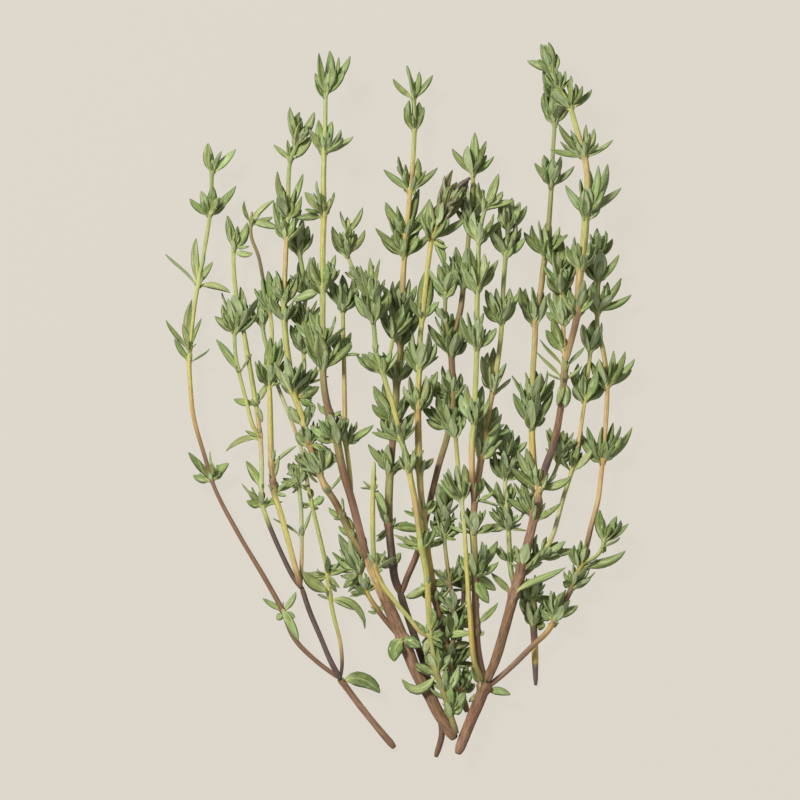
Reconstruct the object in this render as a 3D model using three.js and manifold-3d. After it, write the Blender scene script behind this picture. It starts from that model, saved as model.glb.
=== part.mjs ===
// A loose bunch of cut thyme lying on a surface: woody sprigs, their branches, and the leafy shoots on them.
// Millimetres. +X is across the bunch, +Y runs from the cut ends to the tips, +Z is up. The floor is z = 0.
import * as THREE from 'three';
import { mergeVertices } from 'three/addons/utils/BufferGeometryUtils.js';
import Module from 'manifold-3d';

const wasm = await Module();
wasm.setup();

const GAP = 0.35; // clear space kept between two neighbouring pieces
const STEM_SIDES = 5; // sides of a stem's section
const STEM_STEP = 8; // length of stem between two rings
const LEAF_WIDTH = 0.34; // of the leaf's own length
const LEAF_THICK = 0.85; // leaves are thicker than real ones, so that they stay solid
const LEAF_WIDEST = 0.45; // where the leaf is widest, from its base
const LEAF_ARCH = 0.12; // rise of the leaf's middle, of its length
const UPRIGHT_LEAF = 5.2; // length of the leaf that stands up or hangs down at each whorl
const UPRIGHT_LEAN = 0.55; // how far such a leaf leans towards the tip, of its length
const SPREAD_LIFT = 0.9; // height of a spreading leaf's tip over or under its whorl
const LEAF_TURNS = [0, 1.4, -1.4, 2.8]; // heights tried for a leaf's tip when a neighbour is in its way

const LOOKS = {
  bark: { color: 0x8a6248, roughness: 0.85, metalness: 0 },
  dark: { color: 0x54433f, roughness: 0.75, metalness: 0 },
  green: { color: 0x6f8a4e, roughness: 0.65, metalness: 0 },
};

// Every branch is one piece. Its route runs from its lower end to its tip, and radii are at those two ends.
// Each line of leaves starts with the y of a whorl, and the leaf tips [x, y] of that whorl follow it.
const BRANCHES = [
  // The thin dark sprig that lies lowest, under the two thick ones.
  { name: 'dark_base', look: 'dark', radii: [0.7, 0.9],
    route: [[9.4, -89.3, 0.7], [10.9, -83.5, 0.8], [9.9, -78, 0.9], [7.8, -72, 1], [5.9, -66, 1.1],
      [3.9, -60, 1.4], [2.2, -55, 1.9], [0.6, -50, 2.5], [0, -48, 2.8]],
    leaves: [] },
  { name: 'centre_tall_shoot', look: 'green', radii: [0.8, 0.4],
    route: [[-0.1, -47.6, 3], [-1.3, -44.7, 3.6], [-1.8, -40, 4.2], [-2.4, -32.3, 4.8], [-2.2, -25, 5],
      [-1.9, -18.4, 5], [-1.7, -10, 5], [-1.5, -5, 5], [-1, 0, 5], [-0.8, 5, 5], [0, 10, 5], [0.2, 16.5, 5],
      [0.6, 31, 5.5], [1, 37, 5.8], [1.9, 45, 6], [2.5, 53, 6], [3.2, 62, 6], [3.5, 68, 6], [3.4, 78, 6]],
    leaves: [
      [-39, [0.2, -38.2], [-6, -38.2]], [-31, [4.2, -32], [-6, -27.2]], [-17.5, [-8, -11], [2.2, -13.6]],
      [-5, [-6.2, 0], [3, -1]], [5, [-5, 9], [3, 9.6]], [16.5, [-4.2, 23.5], [4.6, 23]],
      [26, [-3, 31.5], [3.8, 31]], [37, [-6, 43], [6.5, 41], [-2.4, 45]],
      [53, [-4.2, 57.7], [9.5, 58.2], [-0.3, 61]], [68, [-0.6, 72.6], [7.2, 72.8]],
      [76, [-1.8, 80.5], [8.2, 81.3], [1.7, 83.7]],
    ] },
  { name: 'centre_right_shoot', look: 'green', radii: [0.7, 0.4],
    route: [[0.5, -47.8, 2.9], [1.7, -44.7, 2.6], [4.2, -38.7, 2.4], [6.2, -31, 2.4], [8, -23.4, 3],
      [9.7, -16.4, 4], [11.6, -10, 4.6], [13, -4, 5], [13.2, 4, 5], [12.9, 13, 5], [15.2, 23, 5],
      [16, 30, 5.5], [17, 39, 6], [17.3, 44, 6], [18.2, 54, 6], [18.5, 59, 6]],
    leaves: [
      [-6, [7.6, -2.4], [17.6, -4.6], [9.4, 0.4]], [3, [8.6, 6.6], [16.4, 7.4]],
      [13, [6.4, 17.6], [16.6, 18.4]], [30, [14, 36.6], [18.4, 37], [11.6, 32.4]],
      [44, [13.6, 48.2], [20, 49.2]], [57, [13, 63], [18.7, 67], [23.5, 61]],
    ] },
  { name: 'centre_bud_shoot', look: 'green', radii: [0.5, 0.4],
    route: [[12.8, 14.5, 6], [11.8, 18, 6.8], [11.3, 21, 7.2], [11.5, 29, 7.4]],
    leaves: [[20, [8.4, 23.4]], [27.5, [9.8, 33], [13, 34], [8, 30.4]]] },

  // The slim sprig in the middle, with two low side shoots.
  { name: 'middle_shoot', look: 'green', radii: [0.9, 0.4],
    route: [[16.4, -77.5, 1.2], [15, -73, 1.6], [13.6, -69.4, 2.4], [12.4, -65.3, 3.4], [11.6, -61, 4.4],
      [10.5, -57, 5.2], [8.9, -50, 6], [8.2, -45.5, 6.4], [7.2, -39.5, 6.6], [6.4, -33.5, 7],
      [5.6, -27, 7.4], [5.1, -22, 7.8], [4.9, -17.3, 8], [4.6, -10, 8], [4.5, 0, 8], [4.8, 8, 8],
      [5, 15, 8], [5.5, 20, 8], [7.3, 36, 8.5], [8.2, 41, 8.5], [10.5, 46, 8.5], [12.5, 50, 8.5],
      [15, 53.5, 8.8], [17.5, 55.5, 9]],
    leaves: [
      [-65, [6.2, -63], [17.4, -61.8]], [-57.5, [16.6, -58.8]], [-50, [12.8, -53.6]], [-36, [2.2, -33.8]],
      [-28.5, [1, -27.6], [9, -25.4]], [-17.3, [8.4, -14.5], [1.6, -14.2]], [-2, [0.9, 2.6], [8.2, 2.2]],
      [8, [1.5, 13.6], [8.6, 14.2]], [20, [2.3, 24.6], [8.9, 25.4], [6.8, 29.4]],
      [41, [7.5, 49.5], [15, 44.8], [11, 36.4]], [50, [12.8, 57.2]],
    ] },
  { name: 'middle_low_shoot', look: 'green', radii: [0.6, 0.4],
    route: [[12.6, -64.6, 4], [13.3, -60, 5.6], [13.6, -55, 6.4], [13.1, -50, 6.8], [12.3, -45, 7],
      [11.9, -41.9, 7], [11.3, -37.1, 7], [11, -33, 6.8], [10.8, -26.5, 6.4]],
    leaves: [
      [-52, [17, -50]], [-42, [8.3, -40.2], [14.6, -37.8]], [-33.4, [16.4, -31.2], [8.2, -36.2]],
      [-27, [7.8, -24.2], [13.2, -23], [10.6, -21.6]],
    ] },
  { name: 'middle_dark_shoot', look: 'green', radii: [0.6, 0.45],
    route: [[13.2, -66.4, 2.4], [14.8, -60.5, 2.4], [15.5, -55.5, 2.6], [15.9, -49, 3.2], [16.1, -43, 3.8]],
    leaves: [[-56, [10.8, -53.4], [18.4, -51]], [-45.5, [12, -42.4], [20.4, -42.4], [14.8, -38.6]]] },

  // The thick left sprig.
  { name: 'left_base', look: 'bark', radii: [1.55, 1.2],
    route: [[13.4, -84.6, 3.9], [8.8, -78, 3.9], [5, -69.8, 4.2], [2.8, -63.7, 4.6], [-1.3, -55, 5.2],
      [-3.6, -49.9, 5.8], [-6.3, -43.8, 6.4], [-8.2, -39.3, 7]],
    leaves: [[-60.5, [-1.4, -65.4]]] },
  { name: 'left_tall_shoot', look: 'green', radii: [1.05, 0.4],
    route: [[-8.5, -38.4, 7.4], [-9.9, -33.5, 9], [-11.9, -25.6, 10.5], [-14.3, -17.4, 12], [-16, -9, 12.5],
      [-17.1, -5.2, 12.5], [-18.7, 1.6, 13], [-19.3, 9, 13], [-19.3, 20.5, 13], [-19.3, 28, 13],
      [-19.3, 36, 13], [-19, 46.5, 13], [-19.1, 55, 12.5], [-18.9, 62, 12], [-18.8, 68, 11.5],
      [-18.8, 75, 11], [-18.7, 81, 10.5]],
    leaves: [
      [-9, [-22, -6.2], [-12.8, -4.6]], [-3.5, [-14.6, 0]], [9, [-23.6, 13.6], [-15.2, 14.6]],
      [14, [-22.2, 22], [-16.5, 20.5], [-26, 19.4]], [28, [-21.9, 36], [-16.1, 36.3], [-26.6, 24]],
      [46.5, [-20.8, 54.5], [-23.8, 51.7], [-16.5, 51.7], [-25.6, 45.4]],
      [62, [-20.3, 70], [-14.8, 67.5], [-11.6, 65.8]], [77, [-20.3, 86.7], [-17.6, 87.3], [-12.6, 85.6]],
    ] },
  { name: 'left_outer_shoot', look: 'green', radii: [0.9, 0.4],
    route: [[-9, -39, 6.8], [-12.3, -33.4, 7.4], [-15.9, -26, 8.2], [-18.7, -21.2, 9], [-20.2, -17.6, 9],
      [-22.2, -12, 9], [-24.6, -3.2, 9], [-27, 2.7, 9], [-27.5, 9, 9], [-28.3, 14, 9], [-28.8, 19, 9],
      [-29.2, 24, 9.3], [-28.7, 37, 9.6], [-28, 46.5, 10], [-27.5, 59, 10.5], [-27.2, 64, 11]],
    leaves: [
      [-22, [-14.6, -18.3]], [-17.6, [-25.6, -14], [-17.6, -12]], [-6, [-21.8, -1.4], [-29.6, -2]],
      [2.7, [-31, 9.6], [-22.6, 6.8]], [24, [-32.6, 28.6], [-26.8, 31]], [46.5, [-31.4, 53.8], [-24.3, 54.8]],
      [60, [-31.5, 65], [-27.3, 73.2], [-21.5, 70.6]],
    ] },
  { name: 'left_inner_shoot', look: 'green', radii: [0.55, 0.4],
    route: [[-12, -23.5, 10.2], [-12.3, -19, 9.6], [-12.9, -14, 9], [-13.7, -10.4, 8.6], [-14.1, -2.4, 8.6],
      [-14.3, 9.5, 8.6], [-14.5, 18, 8.6], [-14.5, 25.5, 9]],
    leaves: [
      [-10.4, [-7, -6.4]], [12, [-10, 14.6], [-12.8, 18]], [23.5, [-10, 27], [-12, 30], [-17, 28.6]],
    ] },
  { name: 'left_side_shoot', look: 'green', radii: [0.5, 0.4],
    route: [[-25.1, 0.8, 7.4], [-24.2, 4, 6], [-24, 9, 5.5], [-24.2, 15, 5.5], [-24, 22, 5.5],
      [-23.5, 27.5, 5.5], [-24.3, 32, 5.5], [-25.5, 38.5, 5.5]],
    leaves: [
      [4, [-20.8, 7.6]], [15, [-20.8, 18.6], [-27.4, 18.8]], [27.5, [-27.6, 31.4], [-20.6, 32]],
      [36.5, [-28.4, 41.4], [-21.6, 42.4], [-24.4, 44]],
    ] },
  { name: 'left_low_shoot', look: 'green', radii: [0.6, 0.45],
    route: [[-1, -58.8, 4.8], [-5, -53.3, 5.4], [-8.6, -47.6, 5.4], [-11, -41, 5.4]],
    leaves: [[-51, [-9.8, -52.8]], [-42.5, [-15.3, -34], [-14.2, -47], [-16.6, -41.4], [-9.8, -35.6]]] },

  // The pale green sprig that runs over the middle of the bunch.
  { name: 'light_shoot', look: 'green', radii: [0.7, 0.4],
    route: [[14.2, -83.3, 6.6], [12.2, -77.5, 6.6], [10.3, -71, 6.8], [9, -67.8, 7], [8.2, -63, 7.4],
      [7.4, -58.5, 7.8], [7.3, -54, 8.4], [7, -49.5, 9.2], [6.8, -45, 9.6], [6, -40, 10], [5.2, -36, 10.4],
      [4.6, -31, 10.8], [3.8, -25.5, 11.2], [2.8, -20.5, 11.6], [1.5, -14, 12], [0.2, -9.5, 12.5],
      [-0.8, -5, 12.8], [-2.2, 0, 13], [-3.2, 3, 13], [-4.6, 8, 13], [-6, 12, 13], [-6.3, 16, 13],
      [-6.8, 21, 13], [-7, 26, 13]],
    leaves: [
      [-77.8, [14.8, -71.6]], [-67.8, [2.4, -71.8], [4.8, -65.4]], [-58.5, [10.6, -54.4], [4.4, -54.6]],
      [-46, [1.6, -48.6]], [-36.6, [-0.8, -33.8], [8.8, -32.2]], [-17, [-1.8, -13.2], [6, -12.4]],
      [-9.5, [-6.8, -8.2], [3.6, -5]], [8, [-10.5, 10.5], [-1.2, 12.6]],
      [20.5, [-11, 25], [-3, 26], [-9.5, 30], [-5.4, 30.6]],
    ] },
  { name: 'light_left_shoot', look: 'green', radii: [0.6, 0.45],
    route: [[7, -59, 8.2], [4.9, -57.8, 8.6], [2.4, -54.6, 9], [-0.9, -50.8, 9.4], [-4.7, -45.6, 9.8],
      [-6, -42.5, 10], [-6.4, -38, 10], [-6.6, -30.3, 9.8], [-6.5, -22.4, 9.4], [-6.5, -15.6, 9]],
    leaves: [[-41.5, [-1.4, -39.4]], [-22, [-9.9, -21.2], [-3.6, -19]]] },
  { name: 'light_fork_shoot', look: 'green', radii: [0.5, 0.4],
    route: [[-4.1, 7, 12.2], [-3, 10.4, 10.8], [-2.2, 13, 10.4], [-1.2, 19, 10.4]],
    leaves: [[17, [-4.2, 21.2], [1.9, 22]]] },
  { name: 'light_tip_shoot', look: 'green', radii: [0.5, 0.4],
    route: [[-7.1, 22.5, 11.8], [-8, 25.5, 9.6], [-10, 30, 8.4], [-12.5, 34.5, 8], [-13, 37.5, 8],
      [-12.6, 45, 8]],
    leaves: [[31, [-6.6, 34.6]], [37.5, [-16.7, 43], [-8.8, 42.3]], [43.5, [-15.4, 47.8], [-9.6, 48.4]]] },

  // The thick right sprig, with most of the branches.
  { name: 'right_base', look: 'bark', radii: [1.65, 1.4],
    route: [[14.8, -88.3, 5.2], [18, -80, 5.2], [19.8, -74.7, 5.3], [21.2, -71, 5.4]],
    leaves: [[-72.5, [27.2, -73.6]]] },
  { name: 'right_stem', look: 'bark', radii: [1.2, 0.75],
    route: [[21.9, -69.6, 5.8], [23.6, -65.8, 6], [26.2, -56.9, 6.5], [28.7, -48, 7], [30.9, -40.9, 7.5],
      [32.5, -33.9, 8], [34.1, -26.6, 8.4], [34.6, -21.7, 8.8], [36.4, -16.6, 9], [38.4, -10.8, 9],
      [40.1, -2.2, 9], [41.2, 9.6, 9]],
    leaves: [
      [-37.5, [28.8, -34.2]], [-21.5, [29.4, -13.6], [41.6, -18.2]],
      [8, [35.4, 14.4], [46.2, 12.8], [41.2, -1]],
    ] },
  { name: 'right_inner_shoot', look: 'green', radii: [1.05, 0.4],
    route: [[20.8, -70.2, 5.8], [19.8, -63.3, 6.5], [19.3, -53.7, 7.2], [19, -44.1, 8], [18.6, -38.7, 8.4],
      [18.3, -32.3, 8.8], [18.6, -26, 9], [19.5, -19.6, 9], [20.9, -10.8, 9], [21.7, -6.5, 9],
      [22.3, -2.2, 9], [23.5, 4, 9], [25, 14, 9], [25.5, 20.5, 9], [25.8, 28, 9], [26, 31, 9],
      [26.3, 37, 9.5], [26.9, 45, 10]],
    leaves: [
      [-54.5, [24.5, -50.4]], [-42.5, [24.4, -36], [22.8, -49]], [-32.3, [24.6, -31.6], [21.4, -27.2]],
      [-24, [22.4, -19]], [-10, [25, -5.5]], [4, [20.3, 9.5], [27, 9.3]], [20.5, [21.9, 26.5], [29.4, 27]],
      [37, [23, 43], [31, 40.6]], [43, [25, 49], [31, 48.5]],
    ] },
  { name: 'right_front_shoot', look: 'green', radii: [0.8, 0.4],
    route: [[18.4, -24.4, 10.4], [18, -18, 12], [17.9, -14.8, 12.6], [18, -10, 13], [18.5, -5, 13.5],
      [18.8, 3, 14], [19.2, 13.5, 14], [19.2, 21, 14], [19.3, 28, 14], [19.5, 35, 13.5], [19.7, 40, 13],
      [20.5, 45, 12.5], [22, 50.5, 12]],
    leaves: [
      [-5, [15.4, 1.4], [22, 0.6]], [13.5, [15.5, 20], [22.4, 20.4]], [28, [24.3, 33.6], [15.6, 33.6]],
      [40, [16.4, 45], [24.6, 44.4]], [49, [24.5, 56.5], [29.4, 50.6], [19.6, 55]],
    ] },
  { name: 'right_yellow_shoot', look: 'green', radii: [0.6, 0.4],
    route: [[19.3, -68.4, 8], [18.3, -64.5, 8.8], [17.9, -60, 9.2], [17.6, -55, 9.6], [17.2, -50, 10.2],
      [16.6, -44, 10.6], [16, -37.5, 10.8], [15.6, -31, 10.8], [15, -25.5, 10.6], [14.5, -20, 10.4],
      [14.3, -15.5, 10], [13.8, -8, 9.4]],
    leaves: [[-24.5, [10.8, -18.4], [17, -19.2]], [-10, [10.4, -6.8], [16.4, -4]]] },
  { name: 'right_green_shoot', look: 'green', radii: [0.6, 0.4],
    route: [[28.2, -47, 6], [27.4, -43, 5.4], [27, -37.8, 5.4], [26.9, -31.4, 5.4], [26.5, -25, 5.4],
      [26.3, -19.4, 5.4], [26.5, -12, 5.4]],
    leaves: [
      [-43, [23.4, -46], [23.4, -40]], [-31, [22.4, -32], [31.2, -32.4], [23, -27.6]], [-25, [21.4, -20.4]],
      [-19, [22.8, -14.6], [31, -18.6]], [-13.5, [28.2, -7.6], [31.8, -10.6], [24.8, -8]],
    ] },
  { name: 'right_slim_shoot', look: 'green', radii: [0.55, 0.4],
    route: [[31.2, -44.4, 6], [33.4, -42.4, 5.6], [36, -39, 5.4], [38.6, -33.9, 5.4], [41.1, -25, 5.4],
      [43.5, -16.6, 5.4], [44.4, -12.3, 5.4], [45.5, -5.1, 5.4], [46.5, 1.2, 5.4], [47.2, 6, 5.4],
      [48.2, 14, 5.4]],
    leaves: [
      [-39, [40.8, -35.8], [33.6, -34.8], [42.4, -39.8]], [-16.6, [38.8, -14.4], [48, -13.4]],
      [1.2, [43, 7.5], [50, 5.4]], [12.5, [46, 19], [51.5, 17]],
    ] },
  { name: 'right_small_shoot', look: 'green', radii: [0.45, 0.4],
    route: [[36.4, -21.6, 7.4], [37.6, -20, 6.4], [39.6, -15.5, 5.4], [40.2, -10.5, 5.4]],
    leaves: [[-13, [37, -7.8], [43.2, -8.6]]] },
  { name: 'right_back_shoot', look: 'green', radii: [0.7, 0.4],
    route: [[34.2, -20.4, 6.8], [33.8, -18, 6], [33.2, -10.8, 5.2], [33, -6, 5], [33.2, 6.4, 5],
      [33.7, 14, 5], [34, 21, 5], [35.3, 28, 5], [36, 34, 5], [36.6, 37, 5], [37.3, 45, 5],
      [37.9, 54, 5], [38.2, 63, 5], [38.3, 69.5, 5], [38.2, 76, 5]],
    leaves: [
      [-6, [28.6, 0.8], [37.6, 1.8], [31.6, 3.4]], [7, [29.6, 11], [36.8, 11.6]],
      [21, [30, 27.4], [37.4, 27]],
      [37, [31, 42], [34.7, 45], [39.4, 43.5]], [54, [33.7, 59.3], [43.4, 58.5]],
      [69.5, [34.6, 75], [38, 80], [41.4, 75.4]],
    ] },
  { name: 'right_peach_shoot', look: 'green', radii: [0.5, 0.4],
    route: [[41, 11.4, 8.2], [40.9, 14, 7.4], [40.8, 20, 7], [40.2, 28.5, 7], [40.2, 35, 7]],
    leaves: [[28.5, [44.6, 35], [35.8, 33.6]], [33, [40.2, 41], [37.2, 38.6]]] },
  { name: 'right_tall_shoot', look: 'green', radii: [0.65, 0.4],
    route: [[41.9, 10.6, 9.8], [42.8, 15, 10.6], [43.8, 19, 11.2], [44.3, 22, 11.5], [44.8, 30, 12],
      [45.5, 36, 12], [46.5, 41, 12], [46.4, 46.5, 12], [46.8, 55, 12], [46, 61, 12], [44, 68, 11.5],
      [42.3, 73.5, 11], [39.5, 78, 10.5], [37.8, 82, 10], [36.4, 86, 10]],
    leaves: [
      [22, [41, 26]], [34, [42, 38.4], [48.6, 38]], [46.5, [41.8, 53], [52, 57], [54.4, 52.4]],
      [61, [53.2, 65], [48, 68], [39.4, 64.6]], [73.5, [41.5, 81], [48, 77.5], [38, 76]],
      [82.5, [37, 89.5], [31.7, 85.4]],
    ] },
  { name: 'right_outer_shoot', look: 'green', radii: [0.75, 0.4],
    route: [[23, -71.4, 4.6], [25.5, -68.4, 4.2], [28.7, -65.5, 4], [33.5, -60.7, 4.2], [37, -57.5, 4.6],
      [39.2, -53.7, 5], [41.5, -49.9, 5], [43.7, -45.4, 5], [45.6, -40.6, 5], [48.2, -31.4, 5],
      [49.6, -25.2, 5], [50.4, -18, 5], [50.7, -13.7, 5], [51.3, -5.1, 5], [51.6, 4, 5], [50.9, 12, 5],
      [49.4, 18, 5], [49.4, 22.5, 5], [49.6, 30, 5.2], [49.8, 39, 5.4]],
    leaves: [
      [-54, [44.6, -51.4], [36.4, -50.6]], [-45.4, [48.9, -42.7], [40.6, -44.6]], [-40.8, [56.4, -37.6]],
      [-14, [58.2, -6.8], [45.4, -8.6], [53.4, -5.6]], [4, [58.7, 10.6], [47.8, 9.6], [53.4, 12]],
      [22.5, [57.6, 26.4], [45.6, 27.4]], [31, [55.6, 34.4], [46, 35.6]], [37.5, [49, 44], [53.4, 42]],
    ] },
  { name: 'right_outer_side_shoot', look: 'green', radii: [0.45, 0.4],
    route: [[46.4, -40.4, 6], [48.6, -39.4, 6.2], [50.3, -37.5, 6.4], [51.6, -33.5, 6.6]],
    leaves: [[-35, [50.4, -27.6], [54.2, -29], [57.2, -30.9]]] },

  // The short cut piece at the right.
  { name: 'short_shoot', look: 'green', radii: [0.85, 0.5],
    route: [[34, -71.4, 0.9], [33.6, -63.3, 1], [33.3, -56.9, 1.4], [33.8, -52.1, 2.2], [32.8, -46, 3.4]],
    leaves: [[-53, [37.2, -48.6], [37, -56.6]], [-48.5, [36.4, -45], [29.4, -45]]] },

  // The separate sprig at the outer left.
  { name: 'outer_base', look: 'bark', radii: [1.05, 0.95],
    route: [[-1.2, -86.8, 1.1], [-7.9, -79, 1.6], [-14.6, -70.4, 2.6]],
    leaves: [[-71, [-5.2, -73.2]]] },
  { name: 'outer_long_shoot', look: 'green', radii: [0.65, 0.4],
    route: [[-15.4, -69.6, 2.6], [-20, -64.5, 3], [-25.6, -59, 3.6], [-29.1, -52.2, 4], [-33.8, -44.7, 4],
      [-40.2, -33.9, 4], [-46.2, -22.4, 4.5], [-48.9, -13.6, 4.8], [-51.3, -4.8, 5], [-52.1, 1.6, 5],
      [-52.5, 10, 5], [-51.6, 22, 5.2], [-50.7, 29, 5.4], [-48.7, 40, 5.4], [-47.5, 47, 5.6],
      [-46.6, 60, 6]],
    leaves: [
      [-54, [-34.4, -49.4], [-25.9, -48], [-25.5, -60]], [-19.5, [-53, -13.2], [-43, -15.8]],
      [10, [-58.5, 18.6], [-47.5, 13.4], [-49, 19.6]], [29, [-58.7, 36.2], [-42.4, 28.2], [-46.5, 35]],
      [47, [-52.5, 51], [-41.6, 53]], [57.5, [-48.4, 64.3], [-41.2, 62.6]],
    ] },
  { name: 'outer_green_shoot', look: 'green', radii: [0.5, 0.4],
    route: [[-14.2, -69.2, 3], [-14.3, -66.3, 3.4], [-15, -61, 3.6], [-16.5, -53.5, 3.8], [-17.5, -47.5, 4],
      [-18.3, -41.5, 4], [-20.3, -33.5, 4], [-22.2, -25.6, 4], [-23.8, -17.2, 4], [-24.6, -12.4, 4],
      [-26.6, -6, 3.6], [-30.2, 2.4, 3.2], [-31.5, 6, 3], [-33, 12, 3], [-34.2, 17, 3], [-34.5, 23, 3]],
    leaves: [
      [-49, [-8.9, -57]], [-43.6, [-23.6, -43], [-12.8, -41.8]], [-25.6, [-19, -24.2], [-26.6, -23.4]],
      [-16, [-27.6, -13.4], [-20.6, -13.4]],
    ] },
  { name: 'outer_dark_stem', look: 'dark', radii: [0.75, 0.65],
    route: [[-15.3, -69, 4.2], [-17.4, -65, 4.8], [-20, -59.3, 5.2], [-22.8, -53, 5.5], [-24.8, -46.8, 5.5]],
    leaves: [] },
  { name: 'outer_middle_shoot', look: 'green', radii: [0.5, 0.4],
    route: [[-25.3, -46.1, 5.2], [-26.9, -43.6, 5], [-33, -30.3, 5], [-34.6, -25.5, 5], [-34.6, -16.4, 5],
      [-35, -8.8, 5], [-36, 0, 5], [-37.8, 9.5, 5], [-39.3, 18, 5], [-40.3, 22, 5], [-41.6, 33, 5.2],
      [-41.5, 41, 5.4]],
    leaves: [
      [-25.5, [-38.6, -25], [-38.6, -20.4]], [-10, [-43.4, -12.8]], [0, [-41.6, 0.4], [-33, 4.4]],
      [11, [-34.8, 15.6]], [22, [-35.6, 25.2], [-44.6, 27.8]], [38.5, [-43, 46.2], [-37, 42.4]],
    ] },
  { name: 'outer_yellow_shoot', look: 'green', radii: [0.55, 0.4],
    route: [[-25.1, -46, 6.6], [-25.9, -43.6, 6.8], [-28.6, -33.5, 6.8], [-30.2, -26.3, 6.8], [-31, -24, 6.8],
      [-31.8, -16.4, 6.8], [-32, -6.4, 6.8], [-32.4, 1.6, 6.8], [-33, 6.5, 6.8], [-32.4, 12, 6.8],
      [-32.3, 18, 6.8], [-32.7, 22.5, 6.8], [-34, 29, 6.8], [-35.5, 36, 6.8], [-37.6, 41, 6.8],
      [-37, 47, 6.8]],
    leaves: [
      [-22, [-25.8, -20.2]], [-15.8, [-26, -11.4]], [6.5, [-36.2, 10.2], [-28.8, 10]],
      [22.5, [-37.2, 27.3], [-31.4, 31]], [32, [-30.6, 36.4]], [44.5, [-39.4, 49.7], [-31.5, 49.6]],
    ] },
  { name: 'outer_small_shoot', look: 'green', radii: [0.45, 0.4],
    route: [[-24.6, -45.4, 4.6], [-24.6, -39, 4.2], [-24.4, -33.9, 4.2], [-24.6, -26.3, 4.2],
      [-25.6, -19, 4.2]],
    leaves: [[-33.6, [-30.6, -29.6], [-21, -27]], [-20.5, [-28.4, -17.4], [-25, -14.6]]] },
  { name: 'outer_thin_shoot', look: 'green', radii: [0.45, 0.4],
    route: [[-35.3, -9, 6.2], [-36.6, -6.4, 6.4], [-38.6, 0.4, 6.4], [-40.5, 7.5, 6.4], [-41.6, 12, 6.4],
      [-42.4, 19.5, 6.4]],
    leaves: [[7.5, [-45.6, 13.4], [-38, 13]], [17, [-46.4, 21.4], [-43, 25.4]]] },
];

// A closed solid of the geometry, for joining and cutting.
function solidOf(geometry) {
  const bare = geometry.clone();
  bare.deleteAttribute('normal');
  bare.deleteAttribute('uv');
  const merged = mergeVertices(bare, 1e-4);
  return new wasm.Manifold(new wasm.Mesh({
    numProp: 3,
    vertProperties: new Float32Array(merged.attributes.position.array),
    triVerts: new Uint32Array(merged.index.array),
  }));
}

// The geometry of a joined or cut solid.
function geometryOf(solid) {
  const mesh = solid.getMesh();
  const geometry = new THREE.BufferGeometry();
  geometry.setAttribute('position', new THREE.BufferAttribute(new Float32Array(mesh.vertProperties), 3));
  geometry.setIndex(new THREE.BufferAttribute(new Uint32Array(mesh.triVerts), 1));
  geometry.computeVertexNormals();
  return geometry;
}

// A tapered stem: a closed cylinder bent along the branch's route, grown by extra all round and at both ends.
function stemGeometry(curve, radii, extra) {
  const length = curve.getLength();
  const rings = Math.max(2, Math.round(length / STEM_STEP));
  const geometry = new THREE.CylinderGeometry(1, 1, 1, STEM_SIDES, rings, false);
  const position = geometry.attributes.position;
  const point = new THREE.Vector3();
  const side = new THREE.Vector3();
  const over = new THREE.Vector3();
  for (let i = 0; i < position.count; i += 1) {
    const along = THREE.MathUtils.clamp(position.getY(i) + 0.5, 0, 1);
    const tangent = curve.getTangentAt(along);
    const radius = THREE.MathUtils.lerp(radii[0], radii[1], along) + extra;
    side.set(tangent.y, -tangent.x, 0).normalize();
    over.crossVectors(side, tangent);
    curve.getPointAt(along, point);
    point.addScaledVector(tangent, (along === 0 ? -extra : 0) + (along === 1 ? extra : 0));
    point.addScaledVector(side, position.getX(i) * radius);
    point.addScaledVector(over, position.getZ(i) * radius);
    position.setXYZ(i, point.x, point.y, point.z);
  }
  return geometry;
}

// A pointed leaf from its base inside the stem to its tip, made from an octahedron.
function leafGeometry(base, tip, extra) {
  const along = tip.clone().sub(base);
  const length = along.length();
  along.normalize();
  const side = new THREE.Vector3(-along.y, along.x, 0);
  if (side.lengthSq() < 1e-6) side.set(1, 0, 0);
  side.normalize();
  const over = new THREE.Vector3().crossVectors(along, side);
  const geometry = new THREE.OctahedronGeometry(1, 0);
  const position = geometry.attributes.position;
  for (let i = 0; i < position.count; i += 1) {
    const lengthwise = position.getX(i);
    const middle = 1 - Math.abs(lengthwise);
    const reach = length * (lengthwise > 0 ? 1 : 0) + middle * length * LEAF_WIDEST + extra * lengthwise;
    const point = base.clone().addScaledVector(along, reach);
    point.addScaledVector(side, position.getY(i) * (0.5 * length * LEAF_WIDTH + extra));
    point.addScaledVector(over, position.getZ(i) * (0.5 * LEAF_THICK + extra) + middle * length * LEAF_ARCH);
    position.setXYZ(i, point.x, point.y, point.z);
  }
  return geometry;
}

function boxOf(geometry) {
  geometry.computeBoundingBox();
  return geometry.boundingBox;
}

// Whether a solid meets any piece of another branch.
function isBlocked(solid, box, branch, placed) {
  return placed.some((other) => other.branch !== branch
    && other.box.intersectsBox(box)
    && !other.solid.intersect(solid).isEmpty());
}

function largest(solid) {
  return solid.decompose().reduce((best, piece) => (piece.volume() > best.volume() ? piece : best));
}

// The point of the route at a given y, and the direction there.
function placeAt(curve, y) {
  let low = 0;
  let high = 1;
  for (let step = 0; step < 30; step += 1) {
    const middle = (low + high) / 2;
    if (curve.getPointAt(middle).y < y) low = middle;
    else high = middle;
  }
  return { point: curve.getPointAt(low), tangent: curve.getTangentAt(low) };
}

const placed = [];
const grown = [];

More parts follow.
